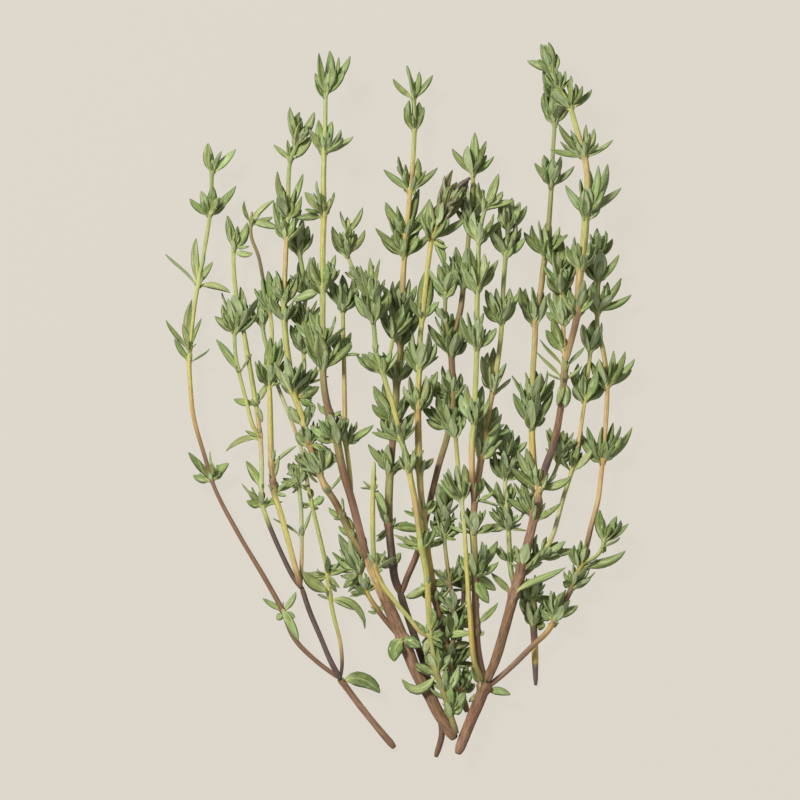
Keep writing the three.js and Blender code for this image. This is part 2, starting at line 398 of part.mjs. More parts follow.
// Stems first. A stem is cut back from every stem placed before it, so a branch starts beside its parent.
for (const branch of BRANCHES) {
  const points = branch.route.map((p) => new THREE.Vector3(...p));
  const curve = new THREE.CatmullRomCurve3(points, false, 'centripetal');
  curve.arcLengthDivisions = 400;
  const geometry = stemGeometry(curve, branch.radii, 0);
  let solid = solidOf(geometry);
  for (const other of grown) {
    if (other.grownBox.intersectsBox(boxOf(geometry))) solid = solid.subtract(other.grownSolid);
  }
  solid = largest(solid);
  const grownGeometry = stemGeometry(curve, branch.radii, GAP);
  grown.push({ branch, curve, solid, grownSolid: solidOf(grownGeometry), grownBox: boxOf(grownGeometry) });
  placed.push({ branch, solid, box: boxOf(geometry) });
}

// Then the leaves, whorl by whorl. A leaf with no free place among its neighbours is left out.
for (const stem of grown) {
  const { branch, curve } = stem;
  branch.leaves.forEach(([y, ...tips], whorl) => {
    const { point: base, tangent } = placeAt(curve, y);
    const ends = tips.map(([tipX, tipY], i) => {
      const lift = i % 2 === whorl % 2 ? SPREAD_LIFT : -SPREAD_LIFT;
      return new THREE.Vector3(tipX, tipY, base.z + lift);
    });
    const standing = base.clone().addScaledVector(tangent, UPRIGHT_LEAF * UPRIGHT_LEAN);
    const rise = UPRIGHT_LEAF * Math.sqrt(1 - UPRIGHT_LEAN * UPRIGHT_LEAN);
    ends.push(standing.clone().setZ(base.z + (whorl % 2 === 0 ? -rise : rise)));
    for (const end of ends) {
      for (const turn of LEAF_TURNS) {
        const tip = end.clone();
        tip.z = Math.max(0, tip.z + turn);
        const test = leafGeometry(base, tip, GAP);
        if (!isBlocked(solidOf(test), boxOf(test), branch, placed)) {
          const geometry = leafGeometry(base, tip, 0);
          const leaf = solidOf(geometry);
          stem.solid = stem.solid.add(leaf);
          placed.push({ branch, solid: leaf, box: boxOf(geometry) });
          break;
        }
      }
    }
  });
}

// The routes put the lowest leaves and the lowest cut end on z = 0, and centre the bunch on x = 0 and y = 0.
const group = new THREE.Group();
for (const { branch, solid } of grown) {
  const mesh = new THREE.Mesh(geometryOf(largest(solid)), new THREE.MeshStandardMaterial(LOOKS[branch.look]));
  mesh.name = branch.name;
  group.add(mesh);
}

export default group;
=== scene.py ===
import math

import bpy
import numpy as np
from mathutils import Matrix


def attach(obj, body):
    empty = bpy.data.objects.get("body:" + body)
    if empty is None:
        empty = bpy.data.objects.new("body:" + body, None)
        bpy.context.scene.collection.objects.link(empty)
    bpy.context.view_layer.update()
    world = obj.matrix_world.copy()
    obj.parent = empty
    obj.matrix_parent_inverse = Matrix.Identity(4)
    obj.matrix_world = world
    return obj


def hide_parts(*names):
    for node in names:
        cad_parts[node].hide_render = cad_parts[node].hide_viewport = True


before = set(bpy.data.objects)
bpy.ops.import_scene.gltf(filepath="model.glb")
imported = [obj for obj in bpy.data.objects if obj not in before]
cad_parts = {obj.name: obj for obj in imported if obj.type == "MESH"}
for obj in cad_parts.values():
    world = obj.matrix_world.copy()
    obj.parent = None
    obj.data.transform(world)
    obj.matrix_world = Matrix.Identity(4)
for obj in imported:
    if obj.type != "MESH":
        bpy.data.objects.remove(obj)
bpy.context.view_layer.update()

# ---------------------------------------------------------------------------------------------------------
# Floor, light and camera. The bunch lies on a pale beige table top that glows a little, so shadows on it
# stay faint. One wide soft light hangs overhead, and the camera looks straight down through a long lens.
MM = 0.001


def linear(red, green, blue):
    """A screen colour, 0 to 255 a channel, as the linear colour that shader sockets take."""
    return tuple(
        c / 12.92 if c <= 0.04045 else ((c + 0.055) / 1.055) ** 2.4
        for c in (red / 255, green / 255, blue / 255)
    )


def new_material(name):
    """An empty material, and the shader that its colour, gloss and bumps go into."""
    made = bpy.data.materials.new(name)
    made.use_nodes = True
    return made, made.node_tree.nodes["Principled BSDF"]


def feed(node, values):
    """Gives a node's sockets their values: another node's output is linked, anything else is set."""
    for socket, value in values.items():
        if isinstance(value, bpy.types.NodeSocket):
            node.id_data.links.new(value, node.inputs[socket])
        else:
            node.inputs[socket].default_value = value


floor_mesh = bpy.data.meshes.new("floor")
floor_mesh.from_pydata([(-4, -4, 0), (4, -4, 0), (4, 4, 0), (-4, 4, 0)], [], [(0, 1, 2, 3)])
floor = bpy.data.objects.new("floor", floor_mesh)
bpy.context.collection.objects.link(floor)

table_top, table_shader = new_material("table_top")
feed(table_shader, {
    "Base Color": (0.02, 0.0193, 0.0177, 1), "Roughness": 0.9, "Specular IOR Level": 0.0,
    "Emission Color": (*linear(222, 216, 204), 1), "Emission Strength": 0.954,
})
floor_mesh.materials.append(table_top)

studio = bpy.data.worlds.new("studio")
studio.use_nodes = True
feed(studio.node_tree.nodes["Background"], {"Color": (0.98, 0.98, 0.97, 1), "Strength": 0.5})
bpy.context.scene.world = studio

overhead = bpy.data.lights.new("overhead", "AREA")
overhead.shape = "DISK"
overhead.size = 0.3
overhead.energy = 17.2
overhead.color = (1.0, 0.98, 0.94)
overhead_object = bpy.data.objects.new("overhead", overhead)
overhead_object.location = (-0.5, 0.5, 0.85)
overhead_object.rotation_euler = (-0.53, -0.45, 0)
bpy.context.collection.objects.link(overhead_object)

camera = bpy.data.cameras.new("camera")
camera.lens = 540
camera.sensor_width = 36
camera_object = bpy.data.objects.new("camera", camera)
camera_object.location = (0, 0, 3.007)
bpy.context.collection.objects.link(camera_object)
bpy.context.scene.camera = camera_object
bpy.context.scene.view_settings.view_transform = "Standard"

# ---------------------------------------------------------------------------------------------------------
# The separate sprig at the outer left: a reddish brown base cut at its lower end, a long outer shoot, a
# dark stem with four leafy shoots, and a green shoot, with one large leaf at the fork. How stems, leaves
# and whorls grow comes first, because this is the first sprig, and the others grow the same way.

# A stem is one closed skin bent along its route, squarish in section, thicker at each knot and thinner to
# the tip. Its colours are painted along it. Routes, radii and knots are in millimetres.
STEM_SIDES = 16
STEM_STEP = 0.7 * MM
CURVE_STEPS = 24
KNOT_SWELL, KNOT_REACH = 0.32, 0.9 * MM
END_TAPER, END_REACH = 0.3, 0.8 * MM
BARK_WANDER, YOUNG_WANDER, WANDER_LENGTH = 0.07, 0.03, 2.2 * MM
BARK_CORNERS, YOUNG_CORNERS, CORNER_TWIST = 0.03, 0.09, 38 * MM
BARK_RIDGES = ((3, 0.05), (5, 0.045), (8, 0.03))
RIDGE_SWING, RIDGE_LENGTH = 2.5, 6 * MM
CUT_FACE = ((0.8, 0.22, "umber"), (0.3, 0.36, "pink"))
GRAIN_LENGTH = 9 * MM
SHARP_EDGE = math.radians(55)
LOWEST_STEM_POINT = 0.02 * MM

SKINS = {
    "wood": linear(118, 91, 67),
    "red": linear(116, 85, 65),
    "pink": linear(134, 104, 82),
    "dark": linear(84, 70, 58),
    "plum": linear(92, 76, 72),
    "umber": linear(106, 80, 58),
    "tan": linear(168, 145, 97),
    "orange": linear(170, 139, 84),
    "peach": linear(180, 155, 106),
    "gold": linear(174, 154, 76),
    "olive": linear(132, 126, 76),
    "yellow": linear(172, 163, 90),
    "lime": linear(156, 160, 92),
    "green": linear(134, 148, 92),
    "pale": linear(168, 172, 124),
}


def add_node(made, kind, values, **settings):
    """A new shader node in a material, with its settings made and its sockets fed."""
    node = made.node_tree.nodes.new("ShaderNode" + kind)
    for setting, value in settings.items():
        setattr(node, setting, value)
    feed(node, values)
    return node.outputs


def remap(made, value, from_min, from_max, to_min, to_max):
    """A value stretched from one range to another, and held within it."""
    limits = {"From Min": from_min, "From Max": from_max, "To Min": to_min, "To Max": to_max}
    return add_node(made, "MapRange", {"Value": value, **limits})["Result"]


def stem_material(name, fibre, bump, roughness, subsurface):
    """Painted skin crossed by long fibres, which also raise its surface."""
    made, shader = new_material(name)
    skin = add_node(made, "Attribute", {}, attribute_name="skin")["Color"]
    grain = add_node(made, "Attribute", {}, attribute_name="grain")["Vector"]
    long_noise = {"Vector": grain, "Scale": 3.4, "Detail": 6, "Roughness": 0.65}
    fibres = add_node(made, "TexNoise", long_noise)["Fac"]
    spread = remap(made, fibres, 0.3, 0.7, 1 - fibre, 1 + fibre)
    raised = {"Strength": bump, "Distance": 0.25 * MM, "Height": fibres}
    feed(shader, {
        "Base Color": add_node(made, "VectorMath", {0: skin, "Scale": spread}, operation="SCALE")["Vector"],
        "Normal": add_node(made, "Bump", raised)["Normal"],
        "Roughness": roughness, "Specular IOR Level": 0.35,
        "Subsurface Weight": subsurface, "Subsurface Radius": (0.6 * MM, 0.5 * MM, 0.2 * MM),
    })
    return made


STEM_COVERS = {
    "bark": stem_material("bark", 0.6, 1.0, 0.85, 0.0),
    "dark_stem": stem_material("dark_stem", 0.5, 1.0, 0.75, 0.0),
    "young_stem": stem_material("young_stem", 0.3, 0.6, 0.5, 0.08),
}


def centre_line(route):
    """Even points along a smooth curve through the route, the directions there and the way travelled. A
    point of the route that gives no height lies as high as the one before it."""
    points = []
    for x, y, *height in route:
        points.append((x, y, *(height or points[-1][2:])))
    points = np.array(points, float) * MM
    ends = [2 * points[0] - points[1], *points, 2 * points[-1] - points[-2]]
    dense = []
    for before, start, stop, after in zip(ends, ends[1:], ends[2:], ends[3:]):
        a, b, c = (np.linalg.norm(q - p) ** 0.5 for p, q in ((before, start), (start, stop), (stop, after)))
        leave = ((start - before) / a - (stop - before) / (a + b) + (stop - start) / b) * b
        arrive = ((stop - start) / b - (after - start) / (b + c) + (after - stop) / c) * b
        t = np.linspace(0, 1, CURVE_STEPS, endpoint=False)[:, None]
        dense.append(
            start + leave * t + (3 * (stop - start) - 2 * leave - arrive) * t**2
            + (2 * (start - stop) + leave + arrive) * t**3
        )
    dense = np.vstack([*dense, points[-1:]])
    travelled = np.concatenate([[0], np.cumsum(np.linalg.norm(np.diff(dense, axis=0), axis=1))])
    count = max(6, int(travelled[-1] / STEM_STEP))
    along = np.linspace(0, travelled[-1], count)
    line = np.stack([np.interp(along, travelled, dense[:, k]) for k in range(3)], axis=1)
    heading = np.gradient(line, axis=0)
    heading /= np.linalg.norm(heading, axis=1)[:, None]
    return line, heading, along


def new_piece(name, vertices, faces, material, node):
    """A mesh object that rides on the bunch and stands for one of its nodes."""
    mesh = bpy.data.meshes.new(name)
    mesh.from_pydata([tuple(v) for v in vertices], [], faces)
    mesh.polygons.foreach_set("use_smooth", [True] * len(mesh.polygons))
    mesh.materials.append(material)
    piece = bpy.data.objects.new(name, mesh)
    bpy.context.collection.objects.link(piece)
    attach(piece, "root")
    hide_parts(node)
    return piece


def paint(mesh, name, kind, values):
    """Stores values for each vertex under a name that the materials read."""
    layer = mesh.attributes.new(name, kind, "POINT")
    layer.data.foreach_set("color" if kind == "FLOAT_COLOR" else "vector", np.ravel(values))


def waves(rng, along, scale, count=4):
    """A smooth random wander along a stem, about -1 to 1."""
    total = np.zeros_like(along)
    for _ in range(count):
        total += np.sin(along / (scale * rng.uniform(0.5, 2)) + rng.uniform(0, 2 * math.pi))
    return total / count


def stem_radius(line, along, radii, knots, woody, rng):
    """The stem's radius at each step: swollen at its knots, drawn in at both ends, and a little uneven."""
    radius = np.interp(along, np.linspace(0, along[-1], len(radii)), np.array(radii) * MM)
    for knot in knots:
        at = along[np.argmin(np.abs(line[:, 1] - knot * MM))]
        radius = radius * (1 + KNOT_SWELL * np.exp(-(((along - at) / KNOT_REACH) ** 2)))
    for from_end in (along, along[-1] - along):
        radius = radius * (1 - END_TAPER * np.exp(-((from_end / END_REACH) ** 2)))
    return radius * (1 + (BARK_WANDER if woody else YOUNG_WANDER) * waves(rng, along, WANDER_LENGTH))


def stem_section(along, angle, woody, rng):
    """How far each side stands out, as a share of the radius: four soft corners, and ridges in bark."""
    turn = rng.uniform(0, math.pi) + along[:, None] / CORNER_TWIST
    section = 1 + (BARK_CORNERS if woody else YOUNG_CORNERS) * np.cos(4 * (angle + turn))
    if woody:
        for ridges, depth in BARK_RIDGES:
            swing = RIDGE_SWING * waves(rng, along, RIDGE_LENGTH)[:, None]
            section += depth * np.sin(ridges * angle + swing)
    return section


def stem_faces(count):
    """The faces between rings of points: the skin's own, then two rings and a flat face at each cut end."""

    def band(ring, next_ring):
        a, b = ring * STEM_SIDES, next_ring * STEM_SIDES
        pairs = [(j, (j + 1) % STEM_SIDES) for j in range(STEM_SIDES)]
        return [(a + j, a + k, b + k, b + j) for j, k in pairs]

    faces = []
    for i in range(count - 1):
        faces += band(i, i + 1)
    for ring, next_ring in ((0, count), (count, count + 1)):
        faces += [face[::-1] for face in band(ring, next_ring)]
    for ring, next_ring in ((count - 1, count + 2), (count + 2, count + 3)):
        faces += band(ring, next_ring)
    faces.append([(count + 1) * STEM_SIDES + j for j in range(STEM_SIDES)][::-1])
    faces.append([(count + 3) * STEM_SIDES + j for j in range(STEM_SIDES)])
    return faces


def make_stem(node, route, radii, skin, knots, cover, rng):
    """The stem's skin, closed at both ends by a cut face that bulges: umber at its edge, pink within."""
    woody = cover != "young_stem"
    line, heading, along = centre_line(route)
    side = np.stack([heading[:, 1], -heading[:, 0], np.zeros(len(line))], axis=1)
    side /= np.linalg.norm(side, axis=1)[:, None]
    over = np.cross(side, heading)
    angle = np.linspace(0, 2 * math.pi, STEM_SIDES, endpoint=False)
    radius = stem_radius(line, along, radii, knots, woody, rng)
    reach_out = radius[:, None] * stem_section(along, angle, woody, rng)
    rings = (
        line[:, None, :]
        + side[:, None, :] * (np.cos(angle) * reach_out)[:, :, None]
        + over[:, None, :] * (np.sin(angle) * reach_out)[:, :, None]
    )
    rings[:, :, 2] = np.maximum(rings[:, :, 2], LOWEST_STEM_POINT)
    marks, tints = list(skin), [SKINS[colour] for colour in skin.values()]
    colours = [np.interp(line[:, 1] / MM, marks, [tint[k] for tint in tints]) for k in range(3)]
    shades = [np.repeat(np.stack(colours, axis=1), STEM_SIDES, axis=0)]
    vertices = [rings.reshape(-1, 3)]
    for ring, centre, push in ((rings[0], line[0], -heading[0]), (rings[-1], line[-1], heading[-1])):
        size = np.linalg.norm(ring[0] - centre)
        for share, bulge, colour in CUT_FACE:
            vertices.append(centre + (ring - centre) * share + push * bulge * size)
            shades.append(np.tile(SKINS[colour], (STEM_SIDES, 1)))
    vertices, shades = np.vstack(vertices), np.vstack(shades)
    piece = new_piece(node + "_stem", vertices, stem_faces(len(line)), STEM_COVERS[cover], node)
    paint(piece.data, "skin", "FLOAT_COLOR", np.hstack([shades, np.ones((len(shades), 1))]))
    around = [np.tile(np.cos(angle), len(line)), np.tile(np.sin(angle), len(line))]
    grain = np.stack([*around, np.repeat(along / GRAIN_LENGTH, STEM_SIDES)], axis=1)
    paint(piece.data, "grain", "FLOAT_VECTOR", np.vstack([grain, vertices[len(grain):] / MM]))
    piece.data.set_sharp_from_angle(angle=SHARP_EDGE)
    return line, heading, radius


# A leaf is a closed blade on a short stalk, widest below its middle, with a sunk midrib, a paler ribbed
# underside and edges rolled under. Its outline is a ring of points shared by its upper and under sheets.
LEAF_ROWS = 9
LEAF_COLUMNS = 7
LEAF_ALONG = np.linspace(0, 0.97, LEAF_ROWS)
LEAF_ACROSS = np.linspace(-1, 1, LEAF_COLUMNS)
LEAF_THICKNESS, FULL_THICKNESS_FROM = 0.42 * MM, 0.5 * MM
STALK_LENGTH, STALK_WIDTH, STALK_WIDTH_SHARE = 0.38, 0.2 * MM, 0.09
WIDEST_PLACE, FULLNESS = 0.95, 0.68
EDGE_ROUNDING, GROOVE_WIDTH, RIB_WIDTH = 0.92, 0.16, 0.2
RIPPLE_DEPTH, RIPPLE_RATE = 0.05, 9
LOWEST_LEAF_POINT, LOWEST_TIP = 0.04 * MM, 0.1 * MM
LEAF_GREENS = np.array(
    [linear(64, 78, 24), linear(98, 112, 50), linear(134, 148, 92), linear(167, 176, 130)]
)
BROWNED_LEAF = np.array(linear(104, 84, 62))
UP = np.array([0.0, 0.0, 1.0])


def leaf_faces():
    """The faces of one leaf: an upper and an under sheet that share their outline, and a cut stalk."""
    rows, columns = LEAF_ROWS, LEAF_COLUMNS
    inner = columns - 2

    def upper(i, j):
        return i * columns + j

    def under(i, j):
        if j in (0, columns - 1):
            return upper(i, j)
        return rows * columns + i * inner + j - 1

    tip = rows * columns + rows * inner
    faces = []
    for i in range(rows - 1):
        for j in range(columns - 1):
            faces.append((upper(i, j), upper(i, j + 1), upper(i + 1, j + 1), upper(i + 1, j)))
            faces.append((under(i, j), under(i + 1, j), under(i + 1, j + 1), under(i, j + 1)))
    for j in range(columns - 1):
        faces.append((upper(rows - 1, j), upper(rows - 1, j + 1), tip))
        faces.append((under(rows - 1, j), tip, under(rows - 1, j + 1)))
    faces.append([under(0, j) for j in range(columns)] + [upper(0, j) for j in range(columns - 2, 0, -1)])
    return [tuple(face) for face in faces], tip + 1


LEAF_FACES, LEAF_POINTS = leaf_faces()


def leaf_shape(base, tip, facing, width, pulls, fold, curl, rng):
    """One leaf's points, and each point's place on the leaf: upper or under side, place across, place along
    and a number of the leaf's own. It runs from base to tip with its upper side facing the given way. Two
    pulls bend it, and it is folded along its midrib and rolled under at its edges by the given shares."""
    chord = tip - base
    length = np.linalg.norm(chord)
    ahead = chord / length
    up = facing - ahead * (facing @ ahead)
    up /= np.linalg.norm(up)
    sideways = np.cross(ahead, up)
    sway = sideways * rng.uniform(-0.05, 0.05) * length
    low, high = base + chord / 3 + pulls[0] + sway, base + chord * 2 / 3 + pulls[1] + sway
    t = LEAF_ALONG[:, None]
    line = base * (1 - t) ** 3 + low * 3 * t * (1 - t) ** 2 + high * 3 * t**2 * (1 - t) + tip * t**3
    heading = (low - base) * (1 - t) ** 2 + (high - low) * 2 * t * (1 - t) + (tip - high) * t**2
    heading /= np.linalg.norm(heading, axis=1)[:, None]
    across = np.cross(heading, up)
    across /= np.linalg.norm(across, axis=1)[:, None]
    normal = np.cross(across, heading)
    twist = rng.uniform(-0.5, 0.5) * t
    across, normal = (
        across * np.cos(twist) + normal * np.sin(twist),
        normal * np.cos(twist) - across * np.sin(twist),
    )
    stalk = np.clip(LEAF_ALONG / STALK_LENGTH, 0, 1)
    half = width / 2 * np.sin(math.pi * LEAF_ALONG**WIDEST_PLACE) ** FULLNESS
    half = half * (0.5 + 0.5 * stalk**2 * (3 - 2 * stalk))
    half = np.maximum(half, (STALK_WIDTH + STALK_WIDTH_SHARE * width) * (1 - 0.8 * LEAF_ALONG))
    s = LEAF_ACROSS[None, :]
    spread = half[:, None] * s * (1 - 0.12 * curl * s**2)
    thick = LEAF_THICKNESS * np.clip(half / FULL_THICKNESS_FROM, 0.5, 1)[:, None]
    drop = half[:, None] * (fold * np.abs(s) - curl * np.abs(s) ** 3)
    ripple = RIPPLE_DEPTH * half[:, None] * np.sin(RIPPLE_RATE * t + 3 * s + rng.uniform(0, 6))
    full = np.sqrt(1 - EDGE_ROUNDING * s**2)
    rise = drop + ripple + thick * (0.5 * full - 0.5 * np.exp(-((s / GROOVE_WIDTH) ** 2)))
    fall = drop + ripple - thick * (0.5 * full + 0.45 * np.exp(-((s / RIB_WIDTH) ** 2)))
    middle = line[:, None, :] + across[:, None, :] * spread[:, :, None]
    upper = middle + normal[:, None, :] * rise[:, :, None]
    under = middle + normal[:, None, :] * fall[:, :, None]
    points = np.vstack([upper.reshape(-1, 3), under[:, 1:-1].reshape(-1, 3), tip[None, :]])
    points[:, 2] = np.maximum(points[:, 2], LOWEST_LEAF_POINT + 0.02 * MM * np.sin(points[:, 0] * 4000))
    upper_place = np.zeros((LEAF_ROWS, LEAF_COLUMNS, 4))
    upper_place[:, :, 0] = np.where(np.abs(s) == 1, 0.5, 0)
    upper_place[:, :, 1] = 0.5 + s / 2
    upper_place[:, :, 2] = LEAF_ALONG[:, None]
    under_place = upper_place[:, 1:-1].copy()
    under_place[:, :, 0] = 1
    places = np.vstack([upper_place.reshape(-1, 4), under_place.reshape(-1, 4), [[0.5, 0, 1, 0]]])
    places[:, 3] = rng.uniform()
    return points, places


def leaf_green(tone, rng):
    """A leaf colour from deep green, 0, to bright yellowish green, 1. Below 0 the leaf is browned."""
    if tone < 0:
        return BROWNED_LEAF * rng.uniform(0.75, 1.25, 3)
    place = np.clip(tone + rng.normal(0, 0.13), 0, 1) * (len(LEAF_GREENS) - 1)
    low = int(min(place, len(LEAF_GREENS) - 2))
    colour = LEAF_GREENS[low] + (LEAF_GREENS[low + 1] - LEAF_GREENS[low]) * (place - low)
    return colour * rng.uniform(0.88, 1.12, 3)


def leaf_material():
    """Green above and paler grey-green below, streaked along each leaf, with a light midrib, a pale foot, a
    dark point, painted shade along the rolled edge, pale streaks of painted highlight, and fine oil dots.
    The leaf_place that it reads holds the side, the places across and along, and the leaf's own number."""
    made, shader = new_material("leaf")
    colour = add_node(made, "Attribute", {}, attribute_name="leaf_colour")["Color"]
    place = add_node(made, "Attribute", {}, attribute_name="leaf_place")
    parts = add_node(made, "SeparateColor", {"Color": place["Color"]})
    underside, across, along = parts["Red"], parts["Green"], parts["Blue"]
    where = add_node(made, "TexCoord", {})["Object"]

    def mix(share, first, second):
        second = (*second, 1) if isinstance(second, tuple) else second
        return add_node(made, "Mix", {0: share, 6: first, 7: second}, data_type="RGBA")[2]

    def noise(vector, scale, detail):
        return add_node(made, "TexNoise", {"Vector": vector, "Scale": scale, "Detail": detail})["Fac"]

    def masked(value, from_min, from_max, to_min, to_max, tint):
        return mix(remap(made, value, from_min, from_max, to_min, to_max), base, tint)

    from_midrib = add_node(made, "Math", {0: remap(made, across, 0, 1, -1, 1)}, operation="ABSOLUTE")[0]
    long_grid = {
        "X": remap(made, across, 0, 1, 0, 4),
        "Y": remap(made, along, 0, 1, 0, 2.4),
        "Z": remap(made, place["Alpha"], 0, 1, 0, 90),
    }
    streak = noise(add_node(made, "CombineXYZ", long_grid)["Vector"], 1.3, 3)
    mottle = noise(where, 900, 3)
    base = colour
    base = masked(mottle, 0.35, 0.7, 0, 0.4, linear(142, 156, 92))
    base = masked(streak, 0.5, 0.3, 0, 0.6, linear(82, 98, 50))
    base = mix(underside, base, mix(0.6, base, linear(168, 178, 138)))
    base = masked(from_midrib, 0.02, 0.16, 0.4, 0, linear(166, 176, 128))
    # Painted shade: each leaf darkens towards its rolled edges, where its surface turns away from the
    # light.
    base = masked(from_midrib, 0.7, 1, 0, 0.55, linear(82, 98, 60))
    # Painted highlight: pale mint streaks along the leaf, where soft light would catch its gloss.
    base = masked(streak, 0.56, 0.72, 0, 0.6, linear(188, 198, 160))
    base = masked(along, 0.02, 0.36, 0.75, 0, linear(170, 174, 116))
    base = masked(along, 0.62, 1, 0, 0.55, linear(92, 110, 70))

    oil_dots = add_node(made, "TexVoronoi", {"Vector": where, "Scale": 2600})["Distance"]
    bumps = {0: remap(made, oil_dots, 0.1, 0.35, 0, 1), 1: noise(where, 2400, 4)}
    height = add_node(made, "Math", bumps, operation="ADD")[0]
    raised = {"Strength": 0.3, "Distance": 0.06 * MM, "Height": height}
    feed(shader, {
        "Base Color": base,
        "Normal": add_node(made, "Bump", raised)["Normal"],
        "Roughness": remap(made, mottle, 0.3, 0.7, 0.48, 0.66), "Specular IOR Level": 0.28,
        "Subsurface Weight": 0.15, "Subsurface Radius": (0.3 * MM, 0.5 * MM, 0.15 * MM),
    })
    return made


leaf_skin = leaf_material()


def grow_leaf(base, tip, facing, width, pulls, tone, rng, grown):
    """Adds one leaf to the ones grown on a shoot."""
    tip = np.array([tip[0], tip[1], max(tip[2], LOWEST_TIP)])
    points, places = leaf_shape(
        base, tip, facing, width, pulls, rng.uniform(0, 0.6), rng.uniform(0.3, 0.75), rng
    )
    grown["points"].append(points)
    grown["places"].append(places)
    if tone < 0 and rng.uniform() < 0.5:
        tone = 0.4
    grown["colours"].append(np.tile([*leaf_green(tone, rng), 1], (LEAF_POINTS, 1)))


# Leaves sit in whorls, one at each knot: large opposite leaves, smaller ones around them and a tuft of the
# smallest. The large ones are listed one by one, and the others fall as the plant's habit has them.
NARROWEST_LARGE, WIDEST_LARGE = 1.4 * MM, 2.9 * MM
LONGEST_IN_AXIL = 7 * MM
FULL_SIZE, SPARSE_SIZE = 0.75, 0.55
FLAT_WIDTH = 1.4


def grow_whorl(centre, axis, radius, tips, size, tufts, tone, rng, grown):
    """The leaves at one knot: the large ones that reach the given tips, each with a smaller one in its
    axil, a ring of others around the stem, and a tuft of small ones. A tip may be followed by how far its
    leaf bends to the left, as a share of its length, by the leaf's width and by its tip's height."""
    right = np.array([axis[1], -axis[0], 0])
    right /= np.linalg.norm(right)
    over = np.cross(right, axis)

    def place(base, tip, width, bend=None, flat=False):
        length = np.linalg.norm(tip - base)
        ahead = (tip - base) / length
        inner = axis - ahead * (axis @ ahead) + 0.001 * over
        inner /= np.linalg.norm(inner)
        bow = -inner * rng.uniform(-0.02, 0.1) * length
        if bend is not None:
            bow = np.array([-ahead[1], ahead[0], 0]) * bend * length
        up_stem = (axis - ahead) * length * 0.13
        pulls = (bow + up_stem, bow * 1.5 - up_stem * 0.2)
        lift = rng.uniform(1.5, 3) if flat else rng.choice([rng.uniform(-0.3, 0.4), rng.uniform(0.7, 1.4)])
        grow_leaf(base, tip, inner * rng.uniform(0.5, 1) + UP * lift, width, pulls, tone, rng, grown)

    for x, y, *shape in tips:
        reach = np.array([x * MM, y * MM, centre[2]]) - centre
        length = np.linalg.norm(reach)
        base = centre + reach / length * radius * 0.5 - axis * MM
        tip = centre + reach + UP * rng.uniform(-0.25, 0.3) * length
        if len(shape) == 3:
            base, tip[2] = centre + UP * radius * 0.8, shape[2] * MM
        width = np.clip(length * rng.uniform(0.34, 0.46), NARROWEST_LARGE, WIDEST_LARGE)
        if len(shape) > 1:
            width = shape[1] * MM
        place(base, tip, width, *shape[:1], flat=len(shape) > 1 and shape[1] > FLAT_WIDTH)
        if size > SPARSE_SIZE:
            share = rng.uniform(0.25, 0.6)
            ahead = reach / length * (1 - share) + axis * share + over * rng.uniform(-0.5, 0.6)
            small = min(length, LONGEST_IN_AXIL) * rng.uniform(0.55, 0.9)
            base = centre + reach / length * radius + axis * rng.uniform(-1.2, 0.2) * MM
            place(base, base + ahead / np.linalg.norm(ahead) * small, small * rng.uniform(0.32, 0.45))
    turns = (55, 125, 235, 305) if size > FULL_SIZE else (90, 270)
    around = [(turn + rng.uniform(-35, 35), rng.uniform(12, 46), rng.uniform(4, 7.8)) for turn in turns]
    around += [(rng.uniform(0, 360), rng.uniform(6, 40), rng.uniform(2.6, 5.8)) for _ in range(tufts)]
    for turn, lean, length in around:
        turn, lean, length = math.radians(turn), math.radians(lean), length * size * MM
        outward = right * math.cos(turn) + over * math.sin(turn)
        ahead = axis * math.cos(lean) + outward * math.sin(lean)
        base = centre + outward * radius * 0.6 + axis * rng.uniform(-1.7, 0.7) * MM
        place(base, base + ahead * length, length * rng.uniform(0.28, 0.5))


def make_shoot(node, seed, radii, skin, route, whorls=(), cover="young_stem", tone=0.5, browned=math.inf):
    """One branch: its stem, and one piece that holds all its leaves. The skin gives the colour at each y,
    and a whorl is (y, size, small leaves, tips...). From the y given as browned, half of the leaves are
    purplish brown. Tone runs from deep to bright green. On shoots that lie low among the others, a low tone
    is partly painted shade."""
    rng = np.random.default_rng(seed)
    knots = [whorl[0] for whorl in whorls]
    line, heading, radius = make_stem(node, route, radii, skin, knots, cover, rng)
    grown = {"points": [], "places": [], "colours": []}
    for y, size, tufts, *tips in whorls:
        at = np.argmin(np.abs(line[:, 1] - y * MM))
        shade = -1 if y > browned else tone
        grow_whorl(line[at], heading[at], radius[at], tips, size, tufts, shade, rng, grown)
    if not grown["points"]:
        return
    faces = []
    for i in range(len(grown["points"])):
        faces += [tuple(v + i * LEAF_POINTS for v in face) for face in LEAF_FACES]
    leaves = new_piece(node + "_leaves", np.vstack(grown["points"]), faces, leaf_skin, node)
    paint(leaves.data, "leaf_place", "FLOAT_COLOR", np.vstack(grown["places"]))
    paint(leaves.data, "leaf_colour", "FLOAT_COLOR", np.vstack(grown["colours"]))


